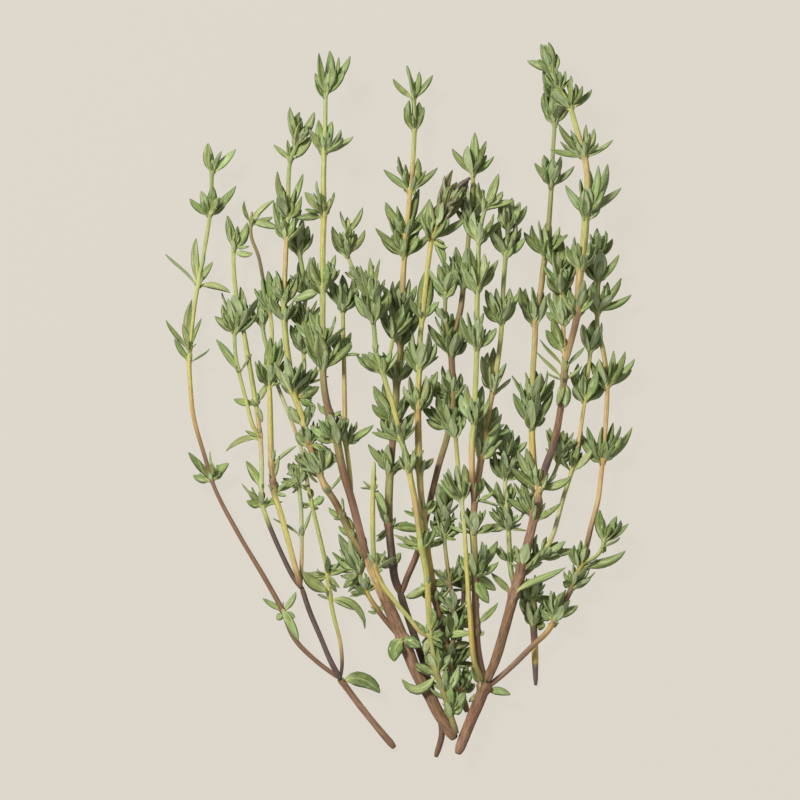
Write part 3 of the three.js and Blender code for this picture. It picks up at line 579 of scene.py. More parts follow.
make_shoot(
    "outer_base", 1, (0.88, 0.78, 0.86), {-87: "red", -78: "pink", -70: "red"},
    [(-1.5, -87, 1), (-8.1, -79, 1.6), (-15, -69.8, 2.6)],
    [(-69.9, 0.3, 0, (-5.1, -73.4, 0.22, 4.6))], cover="bark", tone=0.16,
)
make_shoot(
    "outer_long_shoot", 2, (0.6, 0.52, 0.5),
    {-70: "red", -60: "wood", -30: "wood", -14: "wood", -4: "orange", 6: "yellow", 30: "lime", 60: "green"},
    [(-15, -69.8, 2.6), (-20.9, -65.4, 3), (-26.5, -59.6, 3.6), (-29.5, -52.5, 4), (-33.8, -44.7),
     (-40.2, -33.9), (-46.2, -22.4, 4.5), (-49, -13.6, 4.8), (-51.5, -4.8, 5), (-52.3, 1.6), (-52.7, 10),
     (-51.6, 22, 5.2), (-50.5, 29, 5.4), (-48.5, 40), (-47.5, 47, 5.6), (-46.9, 60, 6)],
    [(-52.6, 0.4, 1, (-34.4, -49.6, 0.03, 1.6), (-26.1, -48, -0.03, 1.8), (-25.4, -60.2, 0.03, 2.4, 5),
      (-31, -54.8, 0.03, 2), (-26.2, -54.4, 0.03, 2)),
     (-19.2, 0.6, 1, (-53, -13, 0, 2.4), (-42.8, -15.8, 0.06, 3), (-47.6, -12.8, 0, 1.1),
      (-51.8, -18.8, 0.05, 2.6), (-44.2, -17.6, 0, 2)),
     (10, 0.5, 2, (-47.6, 12.9, -0.05, 1.1), (-56.4, 15.4, 0, 1.8)),
     (13, 0.5, 2, (-58.6, 20.1, 0, 1.5), (-49.6, 20.5, 0, 1.3), (-52, 25.2, 0.03, 2.4),
      (-54.4, 19, 0, 1.8)),
     (29.4, 0.5, 1, (-58.7, 36.6, 0, 1.4), (-42.4, 26.8, 0.14, 2.2), (-46.8, 34.6, 0, 1.8),
      (-51, 40.6, 0.04, 2.2), (-48.8, 37, 0, 1.4)),
     (46.5, 0.8, 4, (-52.6, 50.4, 0.03, 2.2), (-41, 53.6, -0.04, 2.6), (-49.8, 52.4), (-46.8, 53.6)),
     (57, 0.6, 2, (-48, 64.3, 0.04, 3), (-41, 62.8, -0.04, 2.5), (-45.4, 60.4))],
)
make_shoot(
    "outer_green_shoot", 3, (0.5, 0.47),
    {-70: "dark", -66: "dark", -61: "tan", -54: "lime", -47: "yellow", -40: "lime", -24: "lime",
     -17: "wood", -12: "pale", -8: "tan", -2: "pale", 20: "green"},
    [(-15, -69.8, 2.8), (-14.5, -66.3, 3.4), (-14.9, -61, 3.6), (-16.7, -53.5, 3.8), (-17.8, -47.5, 4),
     (-18.5, -41.5), (-20.3, -33.5), (-22.2, -25.6), (-23.8, -17.2), (-24.7, -12.4), (-26.9, -6, 3.6),
     (-30.2, 2.4, 3.2), (-31.5, 6, 3), (-33, 12), (-34.2, 17), (-34.5, 23)],
    [(-48.4, 0.3, 0, (-24.3, -42.7, 0.08, 3.6, 6)),
     (-49, 0.5, 0, (-8.8, -57.4, 0.26, 2.2), (-20.6, -48.6, 0, 1.4), (-10.8, -52.6, 0.05, 1.8)),
     (-43.6, 0.7, 1, (-23.8, -43.4, 0.03, 2.4), (-12, -41.4, 0.03, 2.3), (-15.8, -48),
      (-21.4, -44.6, 0, 2)), (-25.6, 0.6, 1, (-19, -24.2, 0, 2.3), (-25, -26.6, 0, 1.6), (-20.4, -27.2)),
     (-16.5, 0.8, 5, (-28, -15.8), (-26.4, -13.8), (-20.6, -20.6), (-28.4, -18.6)),
     (19, 0.6, 3, (-37.6, 24), (-32, 25.4), (-35.4, 27.6))],
)
make_shoot(
    "outer_dark_stem", 4, (0.68, 0.6), {-70: "plum", -58: "plum", -50: "dark", -46: "umber"},
    [(-15, -69.8, 3.4), (-17.5, -65, 4.8), (-19.9, -59.3, 5.2), (-22.6, -53, 5.5), (-24.7, -46.6)],
    cover="dark_stem",
)
make_shoot(
    "outer_middle_shoot", 5, (0.6, 0.53),
    {-46: "umber", -44: "dark", -32: "dark", -29: "lime", -18: "pale", -6: "peach", 0: "lime", 40: "lime"},
    [(-24.8, -47, 5.4), (-27.1, -43.6, 5), (-33.1, -30.3), (-34.5, -25.5), (-34.6, -16.4), (-35, -8.8),
     (-36.2, 0), (-37.8, 9.5), (-39.3, 18), (-40.3, 22), (-41.6, 33, 5.2), (-41.5, 41, 5.4)],
    [(-25.5, 0.7, 3, (-38.4, -25.2, 0.03, 2.4), (-39.6, -20.8, 0.01, 1), (-29.2, -25.4, 0, 0.9),
      (-38, -22.6, 0, 1.8)), (-21.6, 0.3, 0, (-38.6, -15.2, -0.04, 2.9)),
     (-9, 0.5, 0, (-43.6, -12.9, -0.16, 1.8), (-38.8, -7.6, 0, 1.2)),
     (-0.6, 0.5, 1, (-41.6, 0.3, 0.08, 2), (-33, 4.6, 0, 1.9), (-34.4, -5.6, 0, 1.6)), (11, 0.35, 1),
     (19, 1, 6, (-35.6, 25.4), (-44.6, 27), (-37, 21.6), (-40, 28.4), (-35, 21.4)),
     (38.5, 0.6, 1, (-43.2, 46.2, 0, 2.8), (-38.2, 44.4, -0.05, 3.2), (-36.8, 36.8, -0.15, 1.8),
      (-40.6, 43.6))],
)
make_shoot(
    "outer_yellow_shoot", 6, (0.75, 0.7, 0.55, 0.35),
    {-46: "wood", -42: "tan", -34: "yellow", -25: "yellow", -21: "wood", -15: "tan", -8: "yellow",
     20: "lime", 26: "dark", 44: "olive"},
    [(-24.8, -46.8, 6), (-25.7, -43.6, 6.8), (-28.4, -33.5), (-30.5, -26.3), (-31.3, -24), (-32.1, -16.4),
     (-32.4, -6.4), (-32.6, 1.6), (-33, 6.5), (-32.2, 12), (-32.1, 18), (-32.6, 22.5), (-34, 29),
     (-35.4, 36), (-37.2, 41), (-37, 47)],
    [(-22, 0.6, 0, (-25.8, -20.4, -0.01, 1.3), (-28.4, -24, 0, 1.3)),
     (-20.4, 0.3, 0, (-30.2, -13.8, 0, 1.2)),
     (-15.8, 0.5, 0, (-25.8, -11.4, 0.08, 1.2), (-31.2, -12.4, 0, 0.9)),
     (4.5, 1, 6, (-36.2, 9.8), (-29, 12.6), (-32.4, 15.8, 0, 2.4), (-35.6, 6.4), (-28.8, 5)),
     (22.5, 1, 7, (-36.4, 28), (-31.2, 31), (-33, 32.4), (-30, 26.4), (-34.6, 31)),
     (5.4, 0.3, 0, (-29.7, 15.6, 0, 2.6), (-31, 14.8, 0, 2)),
     (44.6, 0.4, 1, (-38.9, 49.8, 0.1, 1.2), (-31.4, 50, 0.1, 1.8), (-31.8, 45.8, 0, 1.8),
      (-30.4, 42.8, 0.05, 2.2), (-34, 48.8, 0, 1.8))],
)
make_shoot(
    "outer_small_shoot", 7, (0.5, 0.47), {-46: "tan", -38: "tan", -33: "pale", -19: "green"},
    [(-24.8, -46.4, 5), (-24.6, -39, 4.2), (-24.6, -33.9), (-24.8, -26.3), (-25.6, -19)],
    [(-33.6, 0.5, 0, (-31.8, -29.6, -0.03, 1.1), (-22.2, -27.6, 0.01, 1)),
     (-20.5, 0.7, 5, (-29.8, -20.4), (-28, -16), (-25.4, -14.4), (-27, -23.2), (-22, -22.6))],
)
make_shoot(
    "outer_thin_shoot", 8, (0.5, 0.47), {-9: "yellow", 0: "lime", 20: "green"},
    [(-35, -9.4, 5.4), (-36.8, -6.4, 6.4), (-38.6, 0.4), (-40.4, 7.5), (-41.2, 12), (-41.4, 19.5)],
    [(7.5, 0.4, 1, (-46, 15.2, -0.04, 2.2), (-37, 11.6, 0, 1)),
     (17, 1, 6, (-46.4, 21, 0.03, 2.2), (-43, 25.4), (-36, 21.4, -0.03, 2.2), (-39, 26.4), (-44.4, 24))],
)

# ---------------------------------------------------------------------------------------------------------
# The thin dark sprig that lies lowest. It passes under the left sprig and forks into two leafy shoots, one
# of which has a small bud shoot. Dark brown stems with the deepest green leaves. On the right shoot that
# deep green is partly painted shade.
make_shoot(
    "dark_base", 9, (0.7, 0.95), {-89: "umber", -70: "dark", -48: "dark"},
    [(9, -89.3, 0.7), (10.5, -83.5, 0.8), (9.7, -78, 0.9), (7.8, -72, 1), (5.9, -66, 1.1), (3.9, -60, 1.4),
     (2.2, -55, 1.9), (0.6, -50, 2.5), (0, -48, 2.8)], cover="dark_stem",
)
make_shoot(
    "centre_tall_shoot", 10, (0.9, 1, 0.85, 0.7, 0.6, 0.5),
    {-48: "umber", -44: "plum", -36: "dark", -31: "wood", -26: "olive", -18: "olive", -12: "wood",
     0: "olive", 30: "tan", 40: "gold", 56: "tan", 62: "lime", 78: "green"},
    [(0, -48.2, 2.8), (-1.3, -44.7, 3.6), (-1.9, -40, 4.2), (-2.7, -32.3, 4.8), (-2.8, -25, 5),
     (-2.5, -18.4), (-1.8, -10), (-1.5, -5), (-1, 0), (-0.8, 5), (0, 10), (0.2, 16.5), (0.8, 31, 5.5),
     (1.2, 37, 5.8), (1.9, 45, 6), (2.6, 53), (3.4, 62), (3.6, 68), (3.4, 78)],
    [(-40.5, 0.6, 1, (0.2, -38.2, 0.01, 2.2), (-6, -38.2), (-5.6, -41)),
     (-31, 0.7, 3, (5.8, -32.6, 0.03, 2.6), (-6, -35.4, 0.03, 1.5), (-5.6, -22.4, 0.03, 2.2), (-5, -27.8)),
     (-17.5, 1, 5, (-8, -11, 0.03, 2.2), (2.2, -14), (-5.4, -12.4), (-6.6, -13.4), (-3, -11)),
     (-9.5, 1, 5, (3.8, -3, -0.03, 2.6), (-4.6, -4), (2, -5.2), (-5.8, -7)),
     (-5, 1, 6, (-6.6, 3.6, 0.03, 3), (3.6, 1.2), (-4, 4.8), (-7, -1), (2, 2.6)),
     (5, 1, 6, (-5.2, 10), (3.6, 10.4), (1.4, 13), (4.2, 13.4)),
     (15, 1.1, 9, (-4.6, 22.5), (4.8, 23.4), (-2.6, 25), (3, 26), (-4, 20)),
     (21.5, 1.1, 9, (-4.4, 28.6), (4.2, 28.8), (-1.8, 29.8), (2.4, 30.4), (0, 30)),
     (36.8, 1.1, 7, (-6.2, 43, 0.04, 2.2), (7.6, 41.8, -0.04, 2.2), (-2.8, 46), (4.8, 45.4), (-4.8, 41)),
     (41.5, 1, 5, (-3.6, 49.6), (-0.8, 48.6), (4.8, 53), (7.4, 50.4), (6.6, 46)),
     (53, 0.6, 3, (-4.2, 57.7, 0.02, 2), (9.5, 58.2, -0.02, 2), (-0.4, 61), (4.4, 60.6), (1.4, 59)),
     (67.4, 0.5, 3, (1, 73.2, 0.03, 1.8), (6, 73.4, -0.03, 1.8), (2.4, 75), (4.8, 74.6)),
     (76, 0.5, 3, (-1.8, 80.5, 0.04, 1.7), (8.2, 81.3, -0.04, 1.7), (1.7, 83.7), (4.8, 82.2))], tone=0.38,
)
# Painted shade: this shoot lies low under the others. Its low leaf tone is partly its own deep green and
# partly painted shade.
make_shoot(
    "centre_right_shoot", 11, (0.7, 0.85, 0.7, 0.5),
    {-48: "umber", -36: "red", -18: "wood", -6: "olive", 10: "wood", 40: "olive", 59: "lime"},
    [(0.4, -48.4, 2.8), (1.7, -44.7, 2.6), (4.2, -38.7, 2.4), (6.2, -31), (8, -23.4, 3), (9.7, -16.4, 4),
     (11.6, -10, 4.6), (12.9, -4, 5), (13.2, 4), (13, 13), (15.2, 23), (16, 30, 5.5), (17, 39, 6),
     (17.3, 44), (18.2, 54), (18.5, 59)],
    [(-6.4, 1.2, 9, (7.6, -1.4), (17.8, -3.4), (9.4, 1.4), (15.6, 2), (6.6, -4.8, 0.03, 2.8), (12, 3),
      (5.4, -1.6, 0, 3), (17.6, 0.6)),
     (1, 1, 7, (8, 6.4), (16.6, 4), (10.6, 8.6), (13.8, 7), (6.8, 2.6, 0, 2.8)),
     (12, 1.1, 8, (7, 19, 0.03, 2.4), (16.8, 18.6, -0.03, 2.4), (8.8, 21), (10.8, 21.6), (13.2, 21.8),
      (15.2, 21.2)),
     (29.5, 1.1, 8, (14, 38.4), (16.6, 38), (12.4, 36), (11.4, 31.4), (18.6, 36), (10.8, 34)),
     (44, 1.1, 7, (13.6, 48.2), (20.8, 50.4), (18.6, 54.6), (15.4, 52.8), (21.2, 46.4), (16.6, 55)),
     (57, 0.7, 4, (13, 63, 0.03, 2), (18.7, 67, 0, 2.6), (23.5, 61, -0.05, 1.8), (21.6, 64.8), (17, 63.6))],
    tone=0.32,
)
make_shoot(
    "centre_bud_shoot", 12, (0.5, 0.47), {14: "olive", 29: "green"},
    [(12.9, 13.6, 5.4), (11.8, 18, 6.8), (11.3, 21, 7.2), (11.5, 29, 7.4)],
    [(20, 0.6, 2, (8.4, 24.6)), (26.6, 1, 7, (9.6, 34), (13.2, 36), (8.6, 31), (14.6, 33))],
)

# ---------------------------------------------------------------------------------------------------------
# The slim sprig in the middle. Its stem changes from brown to gold and ends in a bare purple-brown tip. Two
# low side shoots fill the space beside it.
make_shoot(
    "middle_shoot", 13, (0.85, 0.8, 0.5),
    {-78: "wood", -70: "tan", -65: "orange", -57: "red", -50: "wood", -46: "orange", -41: "gold",
     -33: "yellow", -26: "tan", -17: "yellow", -4: "orange", 8: "lime", 36: "yellow", 41: "gold",
     46: "wood", 50: "plum", 56: "plum"},
    [(16.8, -78, 1.2), (15, -73, 1.6), (13.6, -69.4, 2.4), (12.4, -65.3, 3.4), (11.6, -61, 4.4),
     (10.5, -57, 5.2), (8.9, -50, 6), (8.2, -45.5, 6.4), (7.2, -39.5, 6.6), (6.4, -33.5, 7),
     (5.6, -27, 7.4), (5.1, -22, 7.8), (4.9, -17.3, 8), (4.6, -10), (4.5, 0), (4.8, 8), (5, 15), (5.5, 20),
     (7.3, 36, 8.5), (8.2, 41), (10.5, 46), (12.5, 50), (15, 53.5, 8.8), (17.5, 55.5, 9)],
    [(-73, 0.9, 4, (18, -67.4, 0, 2.6), (12, -66.6), (18.8, -71, 0, 2.4), (16.6, -65.6)),
     (-65, 1, 6, (6.2, -63), (17.4, -61.8), (6.8, -65.6), (9, -62.2), (15.2, -60)),
     (-61.8, 0.4, 0, (17.6, -60.8, 0, 2.4)), (-59.2, 0.8, 4, (17.9, -58.4, 0.04, 2.6, 9), (14.4, -55)),
     (-50, 0.8, 4, (12.8, -53.6), (4.6, -47.4, 0.03, 1.8), (12.6, -46.4)),
     (-36, 0.6, 2, (2.2, -33.8), (11.4, -35.2, 0, 1.8)), (-28.5, 0.6, 2, (1, -27.6), (9, -25.4)),
     (-17.3, 0.6, 1, (8.4, -14.5, -0.03, 2), (1.6, -14.2)),
     (-1.6, 1, 5, (0.9, 3.6), (9.4, 7.2, -0.03, 3), (6.4, 6.2), (8.2, 2.2), (2.4, 6)),
     (8, 1, 5, (1.5, 13.6), (9, 14.6), (9.6, 11), (3.2, 17.4), (7, 17)),
     (20.4, 0.6, 3, (6.9, 33, 0, 4.4), (2.6, 25.4), (9.8, 24.6, 0, 2)),
     (41, 0.9, 4, (7.5, 50), (16.8, 46.2, -0.03, 2.6), (10.8, 33.2, 0.12, 2.6), (11.4, 37.6, 0.1, 2),
      (5.4, 46.6)), (45, 0.9, 4, (13.2, 57.6, 0.03, 2.9), (10.6, 53, 0, 2.2), (15.6, 49.6, 0, 2.2)),
     (48.6, 1, 6, (14.2, 54.6, 0, 2.4), (17.2, 54.8, 0, 2.4), (16.4, 51, 0, 2.4), (12, 53.4, 0, 2))],
    browned=44,
)
# Painted shade: both low side shoots lie under the other sprigs. Their low leaf tone is partly their own
# deep green and partly painted shade.
make_shoot(
    "middle_low_shoot", 14, (0.6, 0.47), {-65: "olive", -50: "wood", -40: "olive", -27: "green"},
    [(12.4, -65.2, 3.4), (13.3, -60, 5.6), (13.6, -55, 6.4), (13.1, -50, 6.8), (12.3, -45, 7),
     (11.9, -41.9), (11.3, -37.1), (11, -33, 6.8), (10.8, -26.5, 6.4)],
    [(-57, 0.9, 5, (17.6, -52.6), (9.6, -52.4)), (-52, 0.8, 4, (17, -50), (9, -47)),
     (-45, 0.75, 6, (8.3, -42), (14.8, -40.4), (10.2, -47.4), (8.2, -46), (15.6, -44)),
     (-34, 0.9, 6, (16.4, -31.2, 0, 1.8), (8, -35.4), (14, -34.8), (7.6, -30), (13.4, -28)),
     (-29, 1.1, 9, (7.4, -27), (14.6, -26), (9.4, -24), (12.8, -22.4), (14.4, -29.6), (7.8, -31))],
    tone=0.2,
)
# Painted shade, as on the shoot above: this shoot's low leaf tone is partly painted shade.
make_shoot(
    "middle_dark_shoot", 15, (0.6, 0.53), {-67: "wood", -56: "dark", -43: "dark"},
    [(12.9, -67.2, 2.6), (14.8, -60.5, 2.4), (15.5, -55.5, 2.6), (15.9, -49, 3.2), (16.1, -43, 3.8)],
    [(-66, 1, 5, (18.6, -61), (17.8, -73, 0, 2.4), (11, -60.4), (18.8, -66, 0, 2.2), (15.6, -74, 0, 2)),
     (-56, 1, 6, (10.8, -52.4), (18.4, -51), (19, -56), (12, -58.6)),
     (-46.5, 1.1, 9, (12, -41.4), (20.4, -42.4), (14.8, -38.6), (17.4, -38.2), (11.8, -47.4), (20.6, -47))],
    tone=0.2,
)

# ---------------------------------------------------------------------------------------------------------
# The thick left sprig: a woody base cut at its lower end, a pair of heart-shaped leaves, a tall shoot, an
# outer shoot that carries a side shoot, an inner shoot, and a low leafy one.
make_shoot(
    "left_base", 16, (1.35, 1.6, 1.25),
    {-85: "wood", -70: "wood", -62: "pink", -50: "wood", -46: "tan", -43: "peach", -39: "wood"},
    [(13.6, -84.6, 3.9), (9.4, -78), (7.7, -74.6, 4), (5.2, -70.2, 4.2), (3.4, -66.6, 4.4),
     (2.1, -63.2, 4.6), (-1.3, -55, 5.2), (-3.6, -49.9, 5.8), (-6.3, -43.8, 6.4), (-8.2, -39.3, 7)],
    [(-60.2, 0.3, 0, (-1.3, -65.4, -0.16, 5, 7), (5, -61.8, 0.06, 3.6, 9))], cover="bark", tone=0.16,
)
make_shoot(
    "left_tall_shoot", 17, (1.05, 0.5),
    {-40: "wood", -32: "pink", -25: "red", -18: "wood", -9: "olive", -2: "wood", 8: "olive", 30: "lime",
     44: "yellow", 56: "lime", 80: "green"},
    [(-8.2, -39.8, 6.8), (-9.9, -33.5, 9), (-11.9, -25.6, 10.5), (-14.3, -17.4, 12), (-16, -9, 12.5),
     (-17.1, -5.2), (-18.7, 1.6, 13), (-19.3, 9), (-19.3, 20.5), (-19.3, 28), (-19.3, 36), (-19, 46.5),
     (-19.1, 55, 12.5), (-18.9, 62, 12), (-18.7, 68, 11.5), (-18.6, 75, 11), (-18.6, 81, 10.5)],
    [(-9.6, 1, 7, (-22.4, -6.2), (-12.8, -4.6), (-20.4, -4.8), (-21, -9.6, 0, 2.4), (-18, -3)),
     (-3.5, 0.4, 0, (-14.8, -2.6), (-20.6, -0.6)),
     (8.6, 1.1, 7, (-23.8, 20, 0.04, 2.6), (-12, 14.6, -0.04, 2.6), (-23.4, 14), (-15, 17), (-22.6, 19)),
     (14, 1, 7, (-22.6, 22), (-16.2, 21), (-26, 19.4), (-20.4, 21.6), (-13.8, 18.2)),
     (28, 1.1, 7, (-21.9, 35.4), (-16.1, 36.3), (-27, 24.6, 0, 3), (-18, 34.8), (-23, 32), (-15, 32.6)),
     (46.5, 0.7, 5, (-20.8, 54.7), (-23.8, 51.9), (-16.5, 51.9), (-25.8, 45.4, 0.01, 2.2), (-22.4, 50.4)),
     (62, 0.7, 4, (-20.3, 70, 0, 2.8), (-14.8, 67.5), (-11.6, 65.8, -0.03, 2), (-17, 69.6),
      (-22.6, 67.6, 0.04, 2.2)),
     (76.6, 1.05, 7, (-20.3, 86.7, 0.03, 2), (-17.6, 87.3), (-12.4, 86, -0.04, 2.4), (-15.3, 85.7),
      (-21.2, 81.6, 0.04, 2), (-13.8, 82.4, -0.05, 2.4), (-16.6, 83.6))],
)
make_shoot(
    "left_outer_shoot", 18, (0.9, 0.5),
    {-40: "wood", -34: "olive", -26: "umber", -20: "tan", -16: "wood", -10: "orange", -3: "yellow",
     20: "lime", 38: "tan", 44: "lime", 60: "green"},
    [(-8.4, -39.8, 6.8), (-12.3, -33.4, 7.4), (-15.9, -26, 8.2), (-18.9, -21.2, 9), (-20.4, -17.6),
     (-22.4, -12), (-24.8, -3.2), (-27, 2.7), (-27.7, 9), (-28.4, 14), (-28.8, 19), (-29, 24, 9.3),
     (-28.5, 37, 9.6), (-28, 46.5, 10), (-27.5, 59, 10.5), (-26.3, 62.6, 11), (-25, 66.4)],
    [(-33.6, 0.4, 2, (-15.4, -31.4), (-13.4, -29)),
     (-28.5, 0.4, 2, (-17.8, -26.8), (-16.6, -29.6), (-14.6, -24.4)), (-22, 0.4, 0, (-14.6, -18.3)),
     (-17.6, 1.1, 9, (-26.4, -14.4), (-17.6, -12), (-24, -12), (-19.6, -10.6), (-15.8, -13), (-24.6, -17)),
     (-10.5, 1, 7, (-15.6, -15.6, 0.03, 2.6), (-17.6, -17, 0, 2.4), (-18.4, -8), (-26, -8), (-20.6, -5.6)),
     (-6, 0.9, 5, (-21.4, -1), (-27.6, -2.6), (-22, -7.6)),
     (2.7, 1.1, 7, (-31.4, 9.6, 0.03, 2.2), (-22.6, 6.8), (-30.2, 6.6), (-24.6, 9.2), (-28.6, 11)),
     (20, 1, 5, (-32.6, 26), (-25.4, 24.6)),
     (25, 1, 6, (-32.8, 29.6), (-25.6, 32), (-31, 32.4), (-26.2, 28)),
     (40.6, 1.1, 6, (-31.6, 49.8, 0.04, 2.2), (-31.2, 45.8), (-24.6, 47.6), (-24.4, 44), (-29.6, 48.4)),
     (46.5, 1, 5, (-30.6, 57.2, 0.03, 2), (-24.2, 56.6, -0.03, 2), (-26, 52.8), (-29.4, 53.6)),
     (60.4, 0.4, 1, (-31.6, 63.8, 0, 1.6), (-28.1, 65, 0, 1.4), (-22, 66, 0, 2.8)),
     (64.4, 1.05, 8, (-27.5, 73.2, 0.03, 2.2), (-21.4, 72, -0.03, 2.4), (-25, 72), (-22.4, 68.6),
      (-27.4, 69))],
)
make_shoot(
    "left_inner_shoot", 19, (0.6, 0.5),
    {-24: "tan", -17: "yellow", -8: "yellow", 0: "tan", 12: "yellow", 26: "green"},
    [(-12.2, -24.4, 10.8), (-12.5, -19, 9.6), (-13.1, -14, 9), (-13.6, -10.4, 8.6), (-13.8, -2.4),
     (-14, 9.5), (-14.2, 18), (-14.3, 25.5, 9)],
    [(-10.2, 0.9, 4, (-6.6, -6.2, -0.03, 2.2), (-9.6, -9, 0, 2), (-15.6, -4)),
     (11.6, 0.8, 4, (-10, 11.4, 0.03, 1.4), (-12.2, 17), (-17.4, 15.6)),
     (23, 1.15, 9, (-10.2, 28.4), (-11.8, 31), (-17.4, 31), (-18.4, 27.4), (-14.4, 31.4),
      (-10, 25.2, 0, 2.2))],
)
make_shoot(
    "left_side_shoot", 20, (0.55, 0.5), {0: "yellow", 15: "lime", 39: "green"},
    [(-25.8, 0, 8.4), (-24.2, 4, 6), (-24, 9, 5.5), (-24.2, 15), (-24, 22), (-23.5, 27.5), (-24.3, 32),
     (-25.5, 38.5)],
    [(1, 0.9, 3, (-20.2, 3.4, -0.03, 2.8), (-21.4, -1.6, 0, 2.4)),
     (4.4, 0.8, 4, (-17.8, 6, 0.01, 1.2), (-20.8, 8.6)),
     (13, 1.05, 6, (-20.4, 18.6), (-27.4, 18.8), (-21, 14.4, 0, 2.2), (-26.8, 15)),
     (19.5, 1, 6, (-28.6, 23.6, 0, 2.6), (-27.6, 21, 0, 2.4), (-20.8, 25), (-25.6, 26)),
     (27.5, 1, 6, (-27.6, 31.4), (-20.6, 33.4), (-25.4, 34.6), (-22.4, 35.8), (-26.8, 28.6)),
     (37, 1, 6, (-28.4, 42), (-23, 43.6), (-27, 45), (-24.4, 45.6), (-28.4, 39.4))], tone=0.42,
)
make_shoot(
    "left_low_shoot", 21, (0.6, 0.53), {-60: "wood", -54: "umber", -48: "gold", -40: "green"},
    [(0, -59.4, 4.8), (-5, -53.3, 5.4), (-8.6, -47.6), (-11, -41)],
    [(-52.6, 0.4, 0, (-8, -52.8), (-4, -50.4)), (-47, 0.9, 4, (-12.6, -49), (-5.8, -45.4), (-13.6, -45)),
     (-42.5, 1.1, 8, (-15.4, -33.4, 0.02, 3), (-14.2, -47, 0, 2.2), (-18.4, -41.6, 0, 2.4), (-9.8, -35.6),
      (-13, -48), (-12.6, -34.4), (-17, -38))],
)

# ---------------------------------------------------------------------------------------------------------
# The light green sprig that runs over the middle of the bunch, with a shoot that crosses to the left, a
# short fork near its top and a shoot at its tip. Bright stems and mid-green leaves.
make_shoot(
    "light_shoot", 22, (0.7, 0.75, 0.7, 0.5),
    {-84: "dark", -80: "olive", -70: "olive", -58: "lime", -50: "yellow", -36: "lime", -28: "tan",
     -20: "yellow", -12: "green", -4: "yellow", 10: "green", 26: "green"},
    [(14.2, -83.3, 6.6), (12.2, -77.5), (10.3, -71, 6.8), (9, -67.8, 7), (8.2, -63, 7.4), (7.4, -58.5, 7.8),
     (7.3, -54, 8.4), (7, -49.5, 9.2), (6.8, -45, 9.6), (6, -40, 10), (5.2, -36, 10.4), (4.6, -31, 10.8),
     (3.8, -25.5, 11.2), (2.8, -20.5, 11.6), (1.5, -14, 12), (0.2, -9.5, 12.5), (-0.8, -5, 12.8),
     (-2.2, 0, 13), (-3.2, 3), (-4.6, 8), (-6, 12), (-6.3, 16), (-6.8, 21), (-7, 26)],
    [(-78, 0.8, 2, (16.2, -73, -0.03, 3.6), (11.8, -70, 0, 3), (15.8, -76.6, 0, 3)),
     (-73.5, 0.9, 4, (8, -66.8), (11.2, -66.2, 0, 2.2), (14.6, -66.4), (12.6, -69)),
     (-67.8, 0.9, 4, (0.4, -69.7, 0.42, 3.2), (12.6, -63.6), (6.4, -62.6), (4.6, -66.8, 0, 2.4)),
     (-58.5, 0.9, 4, (10.6, -54.4), (8.3, -51.8, 0, 2.4), (6.2, -63.4, 0, 2.4), (10.6, -62, 0, 2.2),
      (11, -58.2, 0, 2)), (-46, 0.5, 0, (1.3, -49.2, 0.03, 2.8)),
     (-36.6, 0.6, 1, (-1.6, -33.6, 0.01, 1.3), (-1, -35.8, 0, 1.3), (8.8, -32.2)),
     (-17, 0.8, 2, (1, -11.4, 0, 2.2), (6, -12.4)),
     (-9.5, 0.7, 3, (-7.2, -8, 0.03, 1.8), (3.8, -6.2), (-4.2, -7), (3.4, -3.6)),
     (7, 1, 6, (-10.8, 11.2, 0.04, 2.8), (-0.6, 12.4), (-8, 12)), (13, 0.35, 1),
     (20.3, 1.1, 9, (-11.2, 26.4, 0.04, 2.8), (-3, 26), (-9.5, 29), (-5.4, 30), (-7.5, 31), (-3.8, 23)),
     (25.6, 0.9, 3, (-7.5, 35.6, 0, 2), (-5, 35.2, 0, 2), (-9.8, 33.4, 0, 1.8))],
)
make_shoot(
    "light_left_shoot", 23, (0.6, 0.53),
    {-59: "tan", -54: "lime", -46: "yellow", -42.6: "orange", -39: "green", -30: "yellow", -20: "lime",
     -15: "pale"},
    [(7.4, -59.2, 7.8), (4.9, -57.8, 8.6), (2.4, -54.6, 9), (-0.9, -50.8, 9.4), (-4.7, -45.6, 9.8),
     (-6, -42.5, 10), (-6.6, -38), (-6.8, -30.3, 9.8), (-6.7, -22.4, 9.4), (-6.5, -15.6, 9)],
    [(-41.5, 0.6, 2, (-1.2, -39.2), (-4.4, -42.4)),
     (-21.4, 0.5, 0, (-9.9, -21.8, 0, 1.2), (-9.2, -20.2, 0, 0.9), (-3.4, -28.6, 0.04, 2.2))],
)
make_shoot(
    "light_fork_shoot", 24, (0.5, 0.47), {6: "yellow", 19: "green"},
    [(-4.3, 6.4, 12.8), (-3, 10.4, 10.8), (-2.2, 13, 10.4), (-1.2, 19)],
    [(16.6, 1, 6, (-5, 21.2), (2.4, 22), (-3.6, 23.6), (0.6, 24))],
)
make_shoot(
    "light_tip_shoot", 25, (0.5, 0.5), {22: "green", 45: "lime"},
    [(-7, 21.6, 12.8), (-8, 25.5, 9.6), (-10, 30, 8.4), (-12.5, 34.5, 8), (-13.2, 37.5), (-12.8, 45)],
    [(29.6, 0.8, 4, (-6.6, 33.8), (-12.8, 33.4)),
     (36.8, 1, 6, (-16.9, 43.4, 0.05, 2.2), (-8.8, 42.6, -0.05, 2.2), (-14.4, 42), (-11.4, 42.4)),
     (42.4, 0.5, 2, (-15, 47.2, 0, 1.3), (-9.3, 48.2, -0.03, 1.8))],
)

